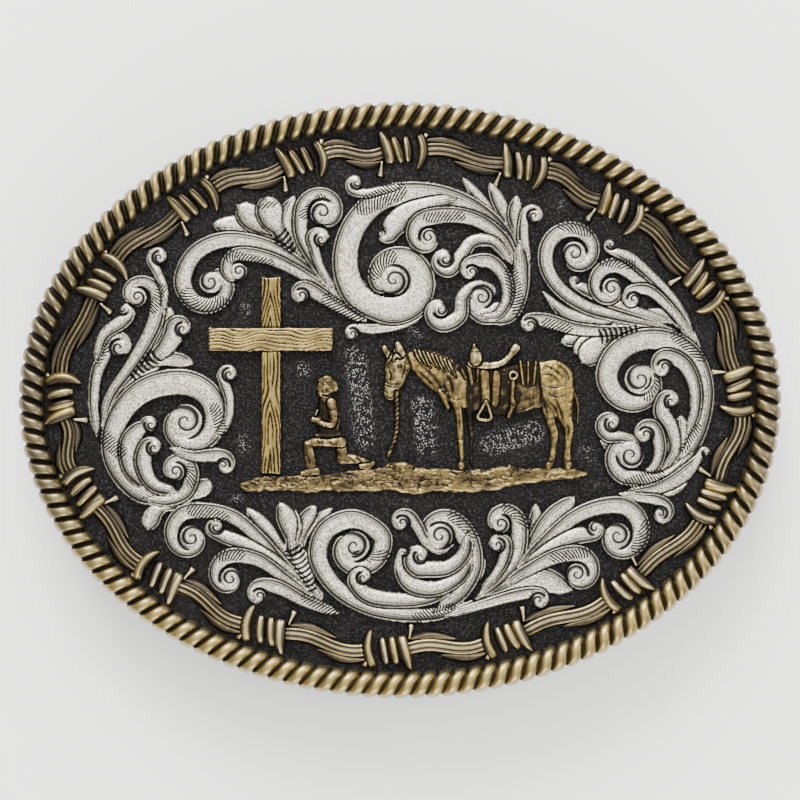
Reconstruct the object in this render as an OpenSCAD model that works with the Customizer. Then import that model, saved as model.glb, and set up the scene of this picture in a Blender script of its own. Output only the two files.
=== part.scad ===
// Oval western belt buckle with a rope edge, a ring of barbed wire, engraved scrollwork and,
// in the middle, a cross, a kneeling rider and a waiting horse.
// It lies on its back: +Z is the way its face looks, the floor is z = 0, +X is the wearer's left
// and +Y is up on the belt. The face is bent a little about an axis along Y, to sit on a waist.

/* [Size] */
// Width over the rope edge
buckle_w = 101.6; // [90:0.2:120]
// Height over the rope edge
buckle_h = 78.9; // [70:0.1:93]
// Radius of the bend from left to right, at the back of the plate
bend_r = 420; // [300:10:900]

/* [Plate] */
// Thickness of the plate
plate_t = 2; // [1.5:0.1:3]
// Height of the plate's back over the floor, at the middle
back_z = 10.3; // [9.5:0.1:12]
// How far the plate's edge stays inside the crests of the rope
edge_in = 0.35; // [0.2:0.05:0.8]

/* [Rope edge] */
// Number of lobes round the edge
rope_lobes = 132; // [100:4:160]
// Width of the rope as seen from the front
rope_w = 3.5; // [2.6:0.1:4.2]
// Height of the rope over the plate
rope_h = 2.2; // [1.6:0.1:2.6]
// Lean of the lobes away from the straight line outwards
rope_lean = 37; // [20:1:45]

/* [Raised work] */
// Height of the scrolls
scroll_h = 0.9; // [0.5:0.05:1.3]
// Height of the round eyes of the scrolls
eye_h = 1.25; // [0.8:0.05:1.6]
// Height of the wire between its knots
wire_h = 0.9; // [0.5:0.05:1.2]
// Height of the knots of the wire
knot_h = 1.5; // [1:0.05:1.8]
// Height of the cross
cross_h = 1.5; // [0.8:0.05:1.8]
// Height of the strip of ground
ground_h = 0.8; // [0.5:0.05:1.2]
// Height of the rider and the horse where they stand out most
figure_h = 1.4; // [1:0.05:1.8]

/* [Back] */
// Inner length of the belt loop, a little over the width of the strap
loop_l = 40; // [34:0.5:42]
// Thickness of the wire of the belt loop
loop_wire = 2.6; // [2:0.1:3]
// Distance of the belt loop from the middle
loop_x = 38; // [34:0.5:40]
// Distance of the hook from the middle
hook_x = 30; // [25:0.5:33]
// Radius of the hook's pin
pin_r = 2; // [1.6:0.1:2.2]
// Lean of the hook, away from the belt loop
hook_lean = 10; // [5:1:15]

/* [Hidden] */

gap = 0.03;                        // air between two pieces, so that each is its own solid
art_w = 101.6;                     // the size that the tables of the artwork are drawn for
art_h = 78.9;
art_scale = [buckle_w / art_w, buckle_h / art_h];
half_w = buckle_w / 2;
half_h = buckle_h / 2;
face_h = plate_t + gap;            // where the raised work starts, over the plate's back
art_slit = 0.12;                   // narrower slits in the drawing are closed
inset = 0.3;                       // how deep an upper layer of raised work reaches into the lower
bend_sides = 720;                  // sides of the big bending cylinder in the preview
cut_h = 30;                        // taller than the buckle, for the shapes that get cut

// The artwork's columns. A curl is a stroke that runs along its route and then winds round an eye.
EYE = 0;                           // and 1: where the eye is
EYE_R = 2;                         // radius of the eye
TURN_R = 3;                        // distance of the stroke from the eye where the winding starts
TURN_AT = 4;                       // direction from the eye to that start, in degrees
SWEEP = 5;                         // how far it winds, in degrees, positive to the left
TIGHT = 6;                         // under 1 it closes late, over 1 it closes early
ROOT_W = 7;                        // width at the root, at its widest and at the eye
BODY_W = 8;
NECK_W = 9;
BELLY = 10;                        // where it is widest, from 0 at the root to 1 at the eye
ROUTE = 11;                        // points before the winding, from the root

turn_step = 32;                    // degrees of the winding between two points of its line

// A leaf has root x and y, middle x and y, tip x and y, its width, and how blunt it is, 0 to 1.
LEAF_W = 6;
BLUNT = 7;

function mix(a, b, t) = a + (b - a) * t;
function ease(t) = t * t * (3 - 2 * t);
function unit(v) = v / norm(v);
function left_of(v) = [-v[1], v[0]];
function last(list) = list[len(list) - 1];

// A smooth line through points: each stretch is a cubic that leaves and enters along the
// line between its neighbours.
function slope(p, i) = (p[min(i + 1, len(p) - 1)] - p[max(i - 1, 0)])
                       / (min(i + 1, len(p) - 1) - max(i - 1, 0));
function cubic(a, b, da, db, t) =
    a * (1 + t * t * (2 * t - 3)) + b * (t * t * (3 - 2 * t))
    + da * (t * (1 - t) * (1 - t)) - db * (t * t * (1 - t));
function smooth(p, steps) = concat(
    [for (i = [0 : len(p) - 2]) let (reach = norm(p[i + 1] - p[i]))
        for (k = [0 : steps - 1])
            cubic(p[i], p[i + 1], unit(slope(p, i)) * reach, unit(slope(p, i + 1)) * reach, k / steps)],
    [last(p)]);

// Distance run from the start of a line to each of its points, as a share of the whole
function run(p, i = 0, sum = 0) = i == len(p) - 1 ? [sum]
    : concat([sum], run(p, i + 1, sum + norm(p[i + 1] - p[i])));
function shares(p) = let (d = run(p)) [for (v = d) v / last(d)];

// A curl runs into its eye, so its end is at least that wide, and its root is never a thread
eye_share = 1.15;
root_share = 0.35;
function neck_w(c) = max(c[NECK_W], eye_share * c[EYE_R]);
function root_w(c) = max(c[ROOT_W], root_share * c[BODY_W]);

// The winding: radius = eye + (start - eye) * (1 - t) ^ tight, while the angle turns by the sweep
function winding(c) =
    let (n = max(2, round(abs(c[SWEEP]) / turn_step) + 1), r_end = max(c[EYE_R] - neck_w(c) / 2, 0.1))
    [for (i = [0 : n - 1]) let (t = i / (n - 1), a = c[TURN_AT] + c[SWEEP] * t,
        r = r_end + (c[TURN_R] - r_end) * pow(1 - t, c[TIGHT]))
        [c[EYE] + r * cos(a), c[EYE + 1] + r * sin(a)]];
function curl_line(c) = smooth(concat(c[ROUTE], winding(c)), 3);
function curl_width(c, s) = s < c[BELLY] ? mix(root_w(c), c[BODY_W], s / c[BELLY])
    : mix(c[BODY_W], neck_w(c), ease((s - c[BELLY]) / (1 - c[BELLY])));

// A leaf swells as a sine from root to tip; a blunt one swells late and ends round
function leaf_line(l) = smooth([[l[0], l[1]], [l[2], l[3]], [l[4], l[5]]], 6);
function leaf_width(l, s) = l[LEAF_W] * max(s < 0.5 ? 0.35 * (1 - s) : 0.04,
    pow(sin(180 * pow(s, 1 + 0.9 * l[BLUNT])), 0.75 - 0.3 * l[BLUNT]));

// A flat band along a line, with a width at each point
module band(p, w) {
    n = len(p);
    side = [for (i = [0 : n - 1]) left_of(unit(p[min(i + 1, n - 1)] - p[max(i - 1, 0)])) * w[i] / 2];
    polygon(concat([for (i = [0 : n - 1]) p[i] + side[i]], [for (i = [n - 1 : -1 : 0]) p[i] - side[i]]));
}
module curl(c) { p = curl_line(c); band(p, [for (s = shares(p)) curl_width(c, s)]); }
module leaf(l) { p = leaf_line(l); band(p, [for (s = shares(p)) leaf_width(l, s)]); }
module eye(c, r) translate([c[EYE], c[EYE + 1]]) circle(r, $fn = 16);

// A limb is a row of points with a width at each: x, y, width. It is round at both ends.
cap_step = 30;
function cap(c, r, from) = [for (a = [from + cap_step : cap_step : from + 180 - cap_step])
    c + r * [cos(a), sin(a)]];
function angle_of(v) = atan2(v[1], v[0]);
module limb(points) {
    p = smooth([for (q = points) [q[0], q[1]]], 3);
    n = len(p);
    w = [for (i = [0 : n - 1]) let (k = floor(i / 3), v = i / 3 - k)
        mix(points[k][2], points[min(k + 1, len(points) - 1)][2], v)];
    heading = [for (i = [0 : n - 1]) unit(p[min(i + 1, n - 1)] - p[max(i - 1, 0)])];
    polygon(concat(
        [for (i = [0 : n - 1]) p[i] - left_of(heading[i]) * w[i] / 2],
        cap(p[n - 1], w[n - 1] / 2, angle_of(heading[n - 1]) - 90),
        [for (i = [n - 1 : -1 : 0]) p[i] + left_of(heading[i]) * w[i] / 2],
        cap(p[0], w[0] / 2, angle_of(heading[0]) + 90)));
}

// Closes slits that are narrower than the real cutter would leave, and scales the drawing
module drawn(slit = art_slit) scale(art_scale) offset(delta = -slit) offset(delta = slit) children();

// Height over the floor of a point x from the middle and h over the plate's back
function lift(x, h) = back_z - bend_r + sqrt(pow(bend_r + h, 2) - x * x);

// The bend, as a big cylinder whose top is the layer h over the plate's back
module bend_cylinder(h) translate([0, 0, back_z - bend_r]) rotate([90, 0, 0])
    cylinder(r = bend_r + h, h = 2 * buckle_h, center = true, $fn = bend_sides);

// Raised work: a straight-sided drawing, cut between two layers over the plate's face, so it
// follows the bend. The layers are laid as narrow flat strips, which cut a fine drawing
// cleanly. An upper layer starts a little inside the lower one that carries it.
bend_strips = 24;
function layer(h) = [for (i = [0 : bend_strips]) let (x = mix(-half_w, half_w, i / bend_strips) * 1.02)
    [x, lift(x, face_h + h)]];
function backwards(list) = [for (i = [len(list) - 1 : -1 : 0]) list[i]];
module raised(h, from = 0) intersection() {
    linear_extrude(cut_h) children();
    rotate([90, 0, 0]) linear_extrude(2 * buckle_h, center = true)
        polygon(concat(layer(h), backwards(layer(from))));
}

module plate() color("#2b2b2c") intersection() {
    difference() {
        linear_extrude(cut_h) scale([half_w - edge_in, half_h - edge_in]) circle(1, $fn = 240);
        bend_cylinder(0);
    }
    bend_cylinder(plate_t);
}

// Rope: rings across the rim, three to a lobe, the one in the groove smaller. Each ring
// leans, because its outer points are moved along the rim by the tangent of the lean.
rings_per_lobe = 3;
groove_size = 0.62;
rope_points = 6;
rim_a = half_w - rope_w / 2;
rim_b = half_h - rope_w / 2;
function on_rim(t) = [rim_a * cos(t), rim_b * sin(t)];
function rim_out(t) = unit([rim_b * cos(t), rim_a * sin(t)]);
function rim_speed(t) = norm([rim_a * sin(t), rim_b * cos(t)]) * PI / 180;
rim_step = 2;
rim_run = [for (t = 0, s = 0; t <= 360; s = s + norm(on_rim(t + rim_step) - on_rim(t)), t = t + rim_step)
    [s, t]];
rim_length = last(rim_run)[0];
function ring(k) =
    let (t0 = lookup(rim_length * k / (rope_lobes * rings_per_lobe), rim_run),
         size = k % rings_per_lobe == 0 ? groove_size : 1)
    [for (j = [0 : rope_points - 1])
        let (a = 180 * j / (rope_points - 1), out = rope_w / 2 * cos(a) * mix(size, 1, 0.6),
             t = t0 - out * tan(rope_lean) / rim_speed(t0),
             p = on_rim(t) + rim_out(t) * out)
        [p[0], p[1], lift(p[0], face_h + rope_h * size * sin(a))]];
module rope_edge() color("#8a7a5c") {
    rings = rope_lobes * rings_per_lobe;
    n = rope_points;
    polyhedron(
        [for (k = [0 : rings - 1]) each ring(k)],
        [for (k = [0 : rings - 1]) let (here = k * n, next = (k + 1) % rings * n)
            for (j = [0 : n - 1]) let (j2 = (j + 1) % n)
                each [[here + j, next + j, here + j2], [next + j, next + j2, here + j2]]]);
}

// Barbed wire: knots at these directions round the face, in degrees, and a twisted span
// between each two. Places on the wire are a run along it and a distance outwards.
wire_a = 45;
wire_b = 33;
knots = [106.8, 89.6, 68.8, 49.9, 27.1, 2.1, -23.5, -48.3, -71.7, -91.9, -113.2, -134.8, -158.4,
         -180, -208.7, -232.6];
knot_half = 3.1;                   // from a knot's middle to where the span starts
function on_wire(t) = [wire_a * cos(t), wire_b * sin(t)];
function wire_out(t) = unit([wire_b * cos(t), wire_a * sin(t)]);
function wire_speed(t) = norm([wire_a * sin(t), wire_b * cos(t)]) * PI / 180;
// A point at the run s clockwise from direction t0 and at the distance out
function by_wire(t0, s, out) = let (t = t0 - s / wire_speed(t0 - s / wire_speed(t0) / 2))
    on_wire(t) + wire_out(t) * out;

// Bars that wind over the wire at a knot: run, lean in degrees, length, width, bow, and how
// far outwards the bar's middle is
knot_bars = [
    [-2.3, -15, 4.5, 1.4, 0.15, 0.3],
    [-0.72, -16, 3.6, 1.05, 0.1, 0.1],
    [0.72, -12, 3.5, 1.05, 0.1, 0.15],
    [2.15, -3, 4.6, 1.25, 0.6, -0.15]];
bar_steps = 6;
bar_reach = 2.2;                   // the bars stop here, short of the rope
module knot(t0) for (b = knot_bars) {
    v = [for (i = [0 : bar_steps]) 2 * i / bar_steps - 1];
    half = min(b[2] / 2, bar_reach - b[5]);
    band([for (q = v) by_wire(t0, b[0] + q * half * sin(b[1]) + b[4] * (1 - q * q), b[5] + q * half)],
        [for (q = v) b[3] * (1.05 - 0.75 * q * q)]);
}

// The core of the wire: a closed wavy band, straight under the knots
core_w = 1.7;
wave_h = 0.45;
span_steps = 8;
function next_knot(i) = i == len(knots) - 1 ? knots[0] - 360 : knots[i + 1];
// Direction at the share v of the span after knot i
function in_span(i, v) = mix(knots[i] - knot_half / wire_speed(knots[i]),
    next_knot(i) + knot_half / wire_speed(next_knot(i)), v);
function core_edge(side) = [for (i = [0 : len(knots) - 1]) each concat(
    [on_wire(knots[i]) + wire_out(knots[i]) * side * core_w / 2],
    [for (k = [0 : span_steps]) let (v = k / span_steps, t = in_span(i, v))
        on_wire(t) + wire_out(t) * (side * core_w / 2 + wave_h * sin(360 * v))])];
module core() {
    outer = core_edge(1);
    inner = core_edge(-1);
    difference() { polygon(outer); polygon(inner); }
}
// Loose strands beside the core: distance outwards, width, start and end as shares of the span
strands = [
    [1.15, 0.8, 0.02, 0.62],
    [-1.15, 0.8, 0.38, 0.98]];
module strand(i, st) {
    v = [for (k = [0 : span_steps]) mix(st[2], st[3], k / span_steps)];
    band([for (q = v) let (t = in_span(i, q)) on_wire(t) + wire_out(t) * (st[0] + wave_h * sin(360 * q))],
        [for (k = [0 : span_steps]) st[1] * pow(sin(180 * mix(0.08, 0.92, k / span_steps)), 0.7)]);
}
module barbed_wire() color("#8f8266") {
    raised(wire_h) scale(art_scale) core();
    raised(wire_h - 0.25, 0.1) scale(art_scale) for (i = [0 : len(knots) - 1], st = strands) strand(i, st);
    raised(knot_h, inset) scale(art_scale) for (t = knots) knot(t);
}

module scroll(curls, leaves) color("#c9c6bf") {
    raised(scroll_h) drawn() {
        for (c = curls) { curl(c); eye(c, c[EYE_R]); }
        for (l = leaves) leaf(l);
    }
    raised(eye_h, inset) scale(art_scale) for (c = curls) eye(c, c[EYE_R] - 0.25);
}
module scroll_top() scroll(top_curls, top_leaves);
module scroll_right() scroll(right_curls, right_leaves);
module scroll_left() scroll(left_curls, left_leaves);
module scroll_bottom() scroll(bottom_curls, bottom_leaves);

// Cross: two beams, the lying one in front
beam_v = [-18.4, -15.7, -9.8, 16.3];     // left, right, foot, head
beam_h = [-25.4, -8.8, 6.4, 9.6];        // left, right, bottom, top
module beam(b) translate([b[0], b[2]]) square([b[1] - b[0], b[3] - b[2]]);
module cross() color("#b39a5e") {
    raised(cross_h - 0.35) scale(art_scale) beam(beam_v);
    raised(cross_h, inset) scale(art_scale) beam(beam_h);
}

// Ground: x, y of the middle and the width, from left to right
ground_line = [[-20.4, -11, 1.5], [-14, -11.1, 2.3], [-6, -10.9, 2.6], [0, -10.4, 3.2], [6, -10.7, 2.6],
               [13.6, -10.3, 2.7], [19, -9.9, 1.6], [24, -9.9, 0.7]];
module ground() color("#4d463a") raised(ground_h) drawn() limb(ground_line);

// The drawing of the scrolls, in the columns named above
top_curls = [
  [-25.1, 15.6, 1.5, 3.75, 175, 255, 0.5, 0.5, 2.6, 1.2, 0.7,
   [[-7.5, 12.8], [-12, 17], [-17.5, 20.4], [-23.5, 21.2], [-27.3, 19.3]]],
  [-21.3, 17, 1.15, 2.3, 95, 150, 0.5, 0.4, 2.1, 1, 0.7,
   [[-8, 13.2], [-12.5, 16.4], [-17.5, 18.8]]],
  [-10.3, 24.8, 1.65, 2.75, 160, -240, 0.5, 0.5, 2.1, 1.2, 0.5,
   [[-8.3, 13.8], [-10.9, 17.6], [-13, 21.5], [-13.2, 24]]],
  [-10.4, 21.2, 0.8, 1.35, 165, -170, 0.6, 0.4, 1.6, 0.6, 0.7,
   [[-8.6, 14.4], [-10.5, 17.5], [-11.4, 20.3]]],
  [-13, 13.8, 0.85, 1.15, 75, 190, 0.6, 0.4, 2.1, 0.7, 0.7,
   [[-4.5, 10.4], [-8.3, 12.4], [-11.3, 14.3]]],
  [-6.3, 8.7, 0.7, 0.9, 80, 170, 0.6, 0.3, 1.5, 0.7, 0.6,
   [[3.2, 11.4], [0.5, 10], [-3.5, 9.4]]],
  [-0.8, 15.8, 1.9, 4.15, 240, 350, 0.42, 0.5, 4, 0.8, 0.77,
   [[16.2, 16], [15.2, 19.3], [12.3, 23.4], [8, 26.2], [3, 27.4], [-2.5, 26.6], [-6.2, 22.8],
    [-7.3, 18], [-5.9, 14]]],
  [-5.7, 28.65, 0.7, 1.1, 235, -190, 0.6, 0.4, 1.6, 0.8, 0.7,
   [[0.5, 28.3], [-2.5, 27.7], [-4.6, 27.3]]],
  [-2.5, 22, 0.45, 1.2, 340, -90, 0.8, 0.8, 3.3, 1, 0.72,
   [[7.5, 26.5], [3.5, 25.6], [0.6, 24.4], [-0.8, 22.9]]],
  [3.8, 21.55, 1.15, 2.45, 110, 225, 0.6, 0.5, 2.5, 1, 0.66,
   [[15.6, 17.5], [13.6, 21.4], [10, 23.9], [6, 24.5]]],
  [6, 18.6, 0.9, 1.6, 290, -240, 0.6, 0.5, 2.2, 0.9, 0.6,
   [[14.8, 18], [12.3, 20.9], [9.6, 20.9], [8.1, 19]]],
  [17.75, 24.3, 0.8, 1.4, 190, -250, 0.7, 0.5, 1.7, 0.8, 0.6,
   [[15.2, 11.5], [16.6, 14.5], [16.6, 18.5], [16.25, 21.8]]],
  [10.8, 13.6, 1.4, 2.7, 305, -150, 0.7, 0.8, 3.2, 1.1, 0.62,
   [[15.8, 21], [16.1, 17.5], [15.6, 14], [14.2, 11.6]]],
  [5.4, 11.9, 0.9, 2.1, 300, -230, 0.6, 0.5, 2.3, 1.1, 0.6,
   [[12.2, 13], [11.9, 14.6], [10, 15], [8.3, 13.6], [8, 11.2]]],
  [9.5, 16.95, 0.75, 1.5, 80, 200, 0.7, 0.5, 2.1, 0.8, 0.66,
   [[10.2, 11.2], [12.8, 11.2], [14.2, 13.4], [13.9, 16.2], [12, 18.3]]],
];
top_leaves = [
  [-13.6, 19.2, -14.9, 20.6, -16.3, 22.3, 2.7, 0.9],
  [-14.6, 21.2, -20.2, 22.8, -24.9, 23.2, 3, 0.7],
  [-15.4, 21.3, -18.9, 23.5, -21.5, 25.8, 3.5, 0.85],
  [-14, 20, -15.3, 23.8, -13.9, 27.1, 2.2, 0.35],
  [-15.5, 21.2, -17.1, 24, -17.5, 27, 3.7, 0.85],
  [15.4, 20.4, 11.4, 25.4, 8.2, 29.5, 1.8, 0.6],
  [15.5, 20.6, 13.6, 25, 11.8, 28.8, 2.1, 0.6],
  [15.9, 20.6, 15.1, 24.1, 15.5, 27.1, 2, 0.7],
];
right_curls = [
  [23.05, 19.4, 1.57, 3.75, 170, -300, 0.65, 0.5, 2.3, 1.2, 0.66,
   [[36.5, 9.2], [33.5, 10.1], [29.5, 10.9], [24.8, 12.2], [21.2, 14.6], [19.4, 17.4]]],
  [23.2, 16, 0.5, 0.7, 260, -120, 0.7, 0.6, 1.8, 0.9, 0.8,
   [[36, 10.2], [31.5, 11.7], [27.5, 13.1], [24.8, 14.5]]],
  [28.05, 14.8, 1.35, 3.1, 75, 255, 0.75, 0.4, 2.2, 1, 0.62,
   [[40.2, 5], [38.4, 8.8], [35.3, 12.9], [31.8, 16]]],
  [27.95, 20.6, 0.55, 0.75, 250, -190, 0.7, 0.4, 1.8, 0.8, 0.7,
   [[38.8, 9.2], [36.3, 13.2], [33, 16.6], [30.2, 18.9]]],
  [30.95, 13.35, 0.8, 1.35, 85, 230, 0.7, 0.4, 1.7, 0.8, 0.66,
   [[39.3, 7.5], [37.3, 10.4], [34.8, 13.2], [32.9, 14.6]]],
  [17.2, 9.9, 0.85, 1, 75, 200, 0.7, 0.5, 2.1, 0.7, 0.72,
   [[32, 9.5], [27, 9.2], [23, 9.5], [19.9, 10.4]]],
  [31.75, 2.75, 2.05, 4.45, 175, 245, 1, 0.6, 3.2, 0.7, 0.66,
   [[35, -9.8], [38.6, -6.5], [40.3, -2], [40.4, 2.5], [38.6, 6.2], [35.3, 8], [31.2, 7.8],
    [28.4, 5.9]]],
  [35.05, 4.35, 0.88, 1.6, 70, 230, 0.7, 0.5, 2.3, 0.8, 0.7,
   [[38, -5], [39.2, -1.5], [39.1, 2], [37.6, 4.9]]],
  [35.9, -0.2, 0.75, 1.25, 185, -220, 0.6, 0.5, 2.4, 0.9, 0.6,
   [[34.6, -9.3], [36.3, -6.5], [35.8, -3.6], [34.6, -1.6]]],
  [32.55, -4.6, 0.9, 1.45, 40, 240, 0.8, 0.5, 2.1, 0.8, 0.6,
   [[31.8, -10.6], [33.8, -8.9], [34.5, -6.4]]],
  [30.55, -7.3, 1.77, 3.2, 285, -235, 0.7, 0.5, 2.4, 0.9, 0.6,
   [[38.8, -7], [36.8, -9.2], [34.2, -10.6]]],
  [28.05, -3.2, 0.85, 1.5, 235, -240, 0.7, 0.4, 2.1, 0.8, 0.6,
   [[31.5, -5.4], [29.3, -4.9], [27.6, -4.8]]],
  [40.6, -7.1, 0.35, 0.75, 130, -120, 0.6, 0.4, 2.2, 0.6, 0.6,
   [[29.5, -12.4], [34, -11.7], [37.5, -9.9], [39.6, -7.6]]],
  [34.5, -15, 0.8, 1.35, 60, -250, 0.8, 0.4, 1.8, 0.7, 0.6,
   [[29, -12.4], [31.8, -12.9], [34, -13.2]]],
];
right_leaves = [
  [38.5, 8.2, 35.5, 11.3, 32.3, 12, 1.3, 0.2],
  [33, 9.9, 22.6, 11, 18.7, 14.5, 2.3, 0.1],
  [33.5, 9.6, 29.8, 9.3, 26.2, 8, 2.8, 0.9],
  [28.4, 9, 24.7, 8.5, 21.2, 7.6, 2.5, 0.6],
  [28.6, 8.8, 25.4, 7.9, 23, 6.2, 2.6, 0.8],
  [28.8, 8.9, 26.4, 7.2, 24, 4.9, 3.6, 0.9],
  [35.6, -8.2, 37.1, -5, 37.3, -2, 2.7, 0.4],
  [31, -6, 28.4, -6.3, 26.4, -5, 1.8, 0.3],
  [32, -12, 35.8, -12.1, 38.3, -10.9, 1.5, 0.3],
];
left_curls = [
  [-28.4, -2.8, 2.27, 5.15, 90, -300, 0.85, 0.8, 3.6, 1, 0.56,
   [[-30, -13.9], [-35, -12.2], [-38, -8.2], [-38.1, -4], [-35.8, -0.1], [-32.6, 1.9]]],
  [-29.7, -9.5, 1.2, 2.35, -30, 250, 0.7, 0.5, 2.1, 0.8, 0.5,
   [[-34, -13], [-30.8, -13.4], [-28.4, -12.3]]],
  [-33, -3.3, 0.8, 0.9, 180, -160, 0.7, 0.6, 2.8, 1.2, 0.6,
   [[-33.5, -11.8], [-35.8, -9], [-36, -6], [-34.9, -4.1]]],
  [-32.6, -6.4, 0.85, 1.2, 165, -180, 0.8, 0.5, 2.5, 0.8, 0.6,
   [[-29.5, -12.2], [-32.6, -11.3], [-34, -8.8]]],
  [-23.35, -8.6, 0.75, 1.15, 75, -230, 0.7, 0.4, 2, 0.8, 0.6,
   [[-30.5, -6.4], [-27.5, -7.4], [-24.8, -7.3]]],
  [-22.6, 3.35, 0.8, 1.05, 190, -230, 0.6, 0.5, 1.6, 0.8, 0.6,
   [[-24.8, -5.2], [-22.9, -3], [-22.6, 0], [-23.2, 2]]],
  [-34.8, 13.6, 1.25, 2.7, 10, 200, 0.6, 0.6, 2.3, 0.9, 0.6,
   [[-39.6, -3.5], [-38.4, 0.5], [-36, 4], [-33.8, 7.5], [-32.3, 10.8]]],
  [-31.9, 18.85, 0.8, 1.15, 190, -230, 0.7, 0.4, 1.5, 0.8, 0.6,
   [[-31.4, 11.5], [-31.2, 14.5], [-32.2, 17]]],
  [-28.8, 9.35, 0.83, 0.9, 160, -200, 0.6, 0.6, 3.2, 0.8, 0.66,
   [[-33, 5.4], [-31.2, 6.9], [-30.1, 8.5]]],
  [-37.3, 6.9, 1.05, 1.9, 150, -200, 0.6, 0.5, 2, 1, 0.6,
   [[-40.2, -5], [-40.7, -0.5], [-40.3, 3.5], [-39.1, 6.5]]],
  [-36.7, 12, 0.55, 1.3, 300, 150, 0.7, 0.5, 2.1, 0.8, 0.6,
   [[-40.4, 5], [-39.2, 8.6], [-36.9, 10.3]]],
];
left_leaves = [
  [-28.5, -13.2, -26.8, -12.2, -25, -10.7, 2.5, 0.9],
  [-30, -13.9, -32.4, -14.9, -33.6, -17.2, 2.7, 0.95],
  [-36.6, 1.8, -34.2, 4, -32, 6.4, 3.4, 0.9],
  [-33.2, 5, -31.9, 8.9, -30.3, 12.3, 3, 0.7],
  [-34, 4.3, -30.5, 5.4, -27.3, 4.9, 2.1, 0.7],
];
bottom_curls = [
  [-27.6, -18.2, 1.6, 3.5, 100, 290, 1.1, 0.5, 2.3, 1.2, 0.66,
   [[-10.5, -26], [-14.8, -22.3], [-18.6, -18.2], [-22.6, -15.2]]],
  [-24.3, -16.8, 0.85, 0.95, 215, -200, 0.7, 0.5, 2.1, 0.9, 0.7,
   [[-12, -25.4], [-16.5, -21.3], [-20.5, -19.1], [-23.3, -18.1]]],
  [-22.4, -23.6, 1.4, 3.05, 85, 250, 1.1, 0.4, 2.2, 1, 0.6,
   [[-11, -26.6], [-15, -23.6], [-18.8, -21.1]]],
  [-18.6, -25.9, 0.85, 1.6, 80, 200, 0.8, 0.4, 2.1, 0.8, 0.6,
   [[-8, -28.2], [-12.5, -26.6], [-16, -24.8]]],
  [-6, -19.3, 2, 3.9, 20, -240, 0.7, 0.6, 2.8, 1, 0.62,
   [[9.5, -26.6], [5.5, -28.2], [0.5, -28.4], [-4.5, -27.3], [-8.7, -24.6], [-10.9, -20.6], [-9.8, -17.2],
    [-6.2, -15.7]]],
  [-4.9, -23.5, 0.7, 1.45, 200, -230, 0.7, 0.5, 2.4, 0.8, 0.6,
   [[8, -23.5], [4.5, -26], [0, -26.5], [-4.3, -25.8]]],
  [0.6, -20, 0.45, 0.5, 180, -60, 0.7, 0.8, 2.4, 0.8, 0.6,
   [[9.5, -20.5], [8, -23.3], [4.5, -25], [1.2, -24.3], [-0.2, -22.2]]],
  [2.7, -20.7, 0.8, 1.8, 290, -290, 0.7, 0.6, 2.4, 0.8, 0.6,
   [[9, -17.5], [8.5, -20.3], [6.3, -22.2]]],
  [5.3, -17.95, 1.7, 2.6, 50, 220, 0.8, 0.6, 3, 1, 0.55,
   [[4.5, -28], [8, -25.5], [9.7, -22], [9, -18.3]]],
  [0.3, -16.2, 0.85, 1.35, 50, 230, 0.7, 0.4, 1.8, 0.8, 0.6,
   [[7, -19.2], [5, -19.8], [3.4, -18.6], [2.4, -16.8]]],
  [13.3, -16.4, 1.2, 2.4, 10, 200, 0.7, 0.5, 2.4, 1, 0.6,
   [[10, -26.3], [13.5, -23.4], [15.6, -20.4]]],
  [12.9, -19.2, 0.85, 1.2, 20, 200, 0.7, 0.4, 1.8, 0.8, 0.6,
   [[10.6, -25.4], [12.6, -23.2], [13.8, -21]]],
  [28.8, -17.95, 1.7, 4, 75, -290, 1.05, 0.5, 2.6, 1.2, 0.66,
   [[15, -23], [19, -18.8], [23.3, -15.3], [27, -14]]],
  [25.8, -16.9, 0.9, 1, 270, 130, 0.7, 0.5, 2.4, 1.2, 0.66,
   [[16.5, -21.9], [20, -19.5], [23.5, -18]]],
  [23.4, -23, 1.4, 2.75, 95, -240, 0.85, 0.4, 2.5, 1, 0.66,
   [[13.5, -24.5], [17, -22.4], [20.5, -20.7]]],
  [18.3, -26.5, 0.9, 1.1, 85, -190, 0.7, 0.4, 1.8, 0.8, 0.66,
   [[6, -28.5], [11, -27], [15.3, -25.8]]],
];
bottom_leaves = [
  [-11.1, -25.9, -12.9, -22.6, -14, -19.4, 3.3, 0.9],
  [-14.8, -20.4, -17.6, -17.1, -20.4, -14.3, 2.1, 0.6],
  [-13, -19.2, -11.5, -16.4, -8.8, -14.2, 1.5, 0.4],
  [-13.5, -19.6, -12.8, -16.4, -11.1, -13.9, 2.2, 0.6],
  [-13.9, -19.4, -13.6, -17, -13.9, -14.4, 1.4, 0.2],
  [-14.4, -19.8, -14.8, -16.6, -15.9, -13.5, 2.8, 0.5],
  [14.8, -22.5, 17.6, -18, 18, -13.6, 2.2, 0.6],
  [15.5, -22.3, 19.4, -16.4, 23.2, -12.8, 2.8, 0.8],
  [12, -25.6, 18.3, -23.7, 22.9, -25.2, 3.5, 0.45],
  [6, -28.3, 10.9, -22, 7.4, -14.9, 1, 0.1],
];

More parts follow.
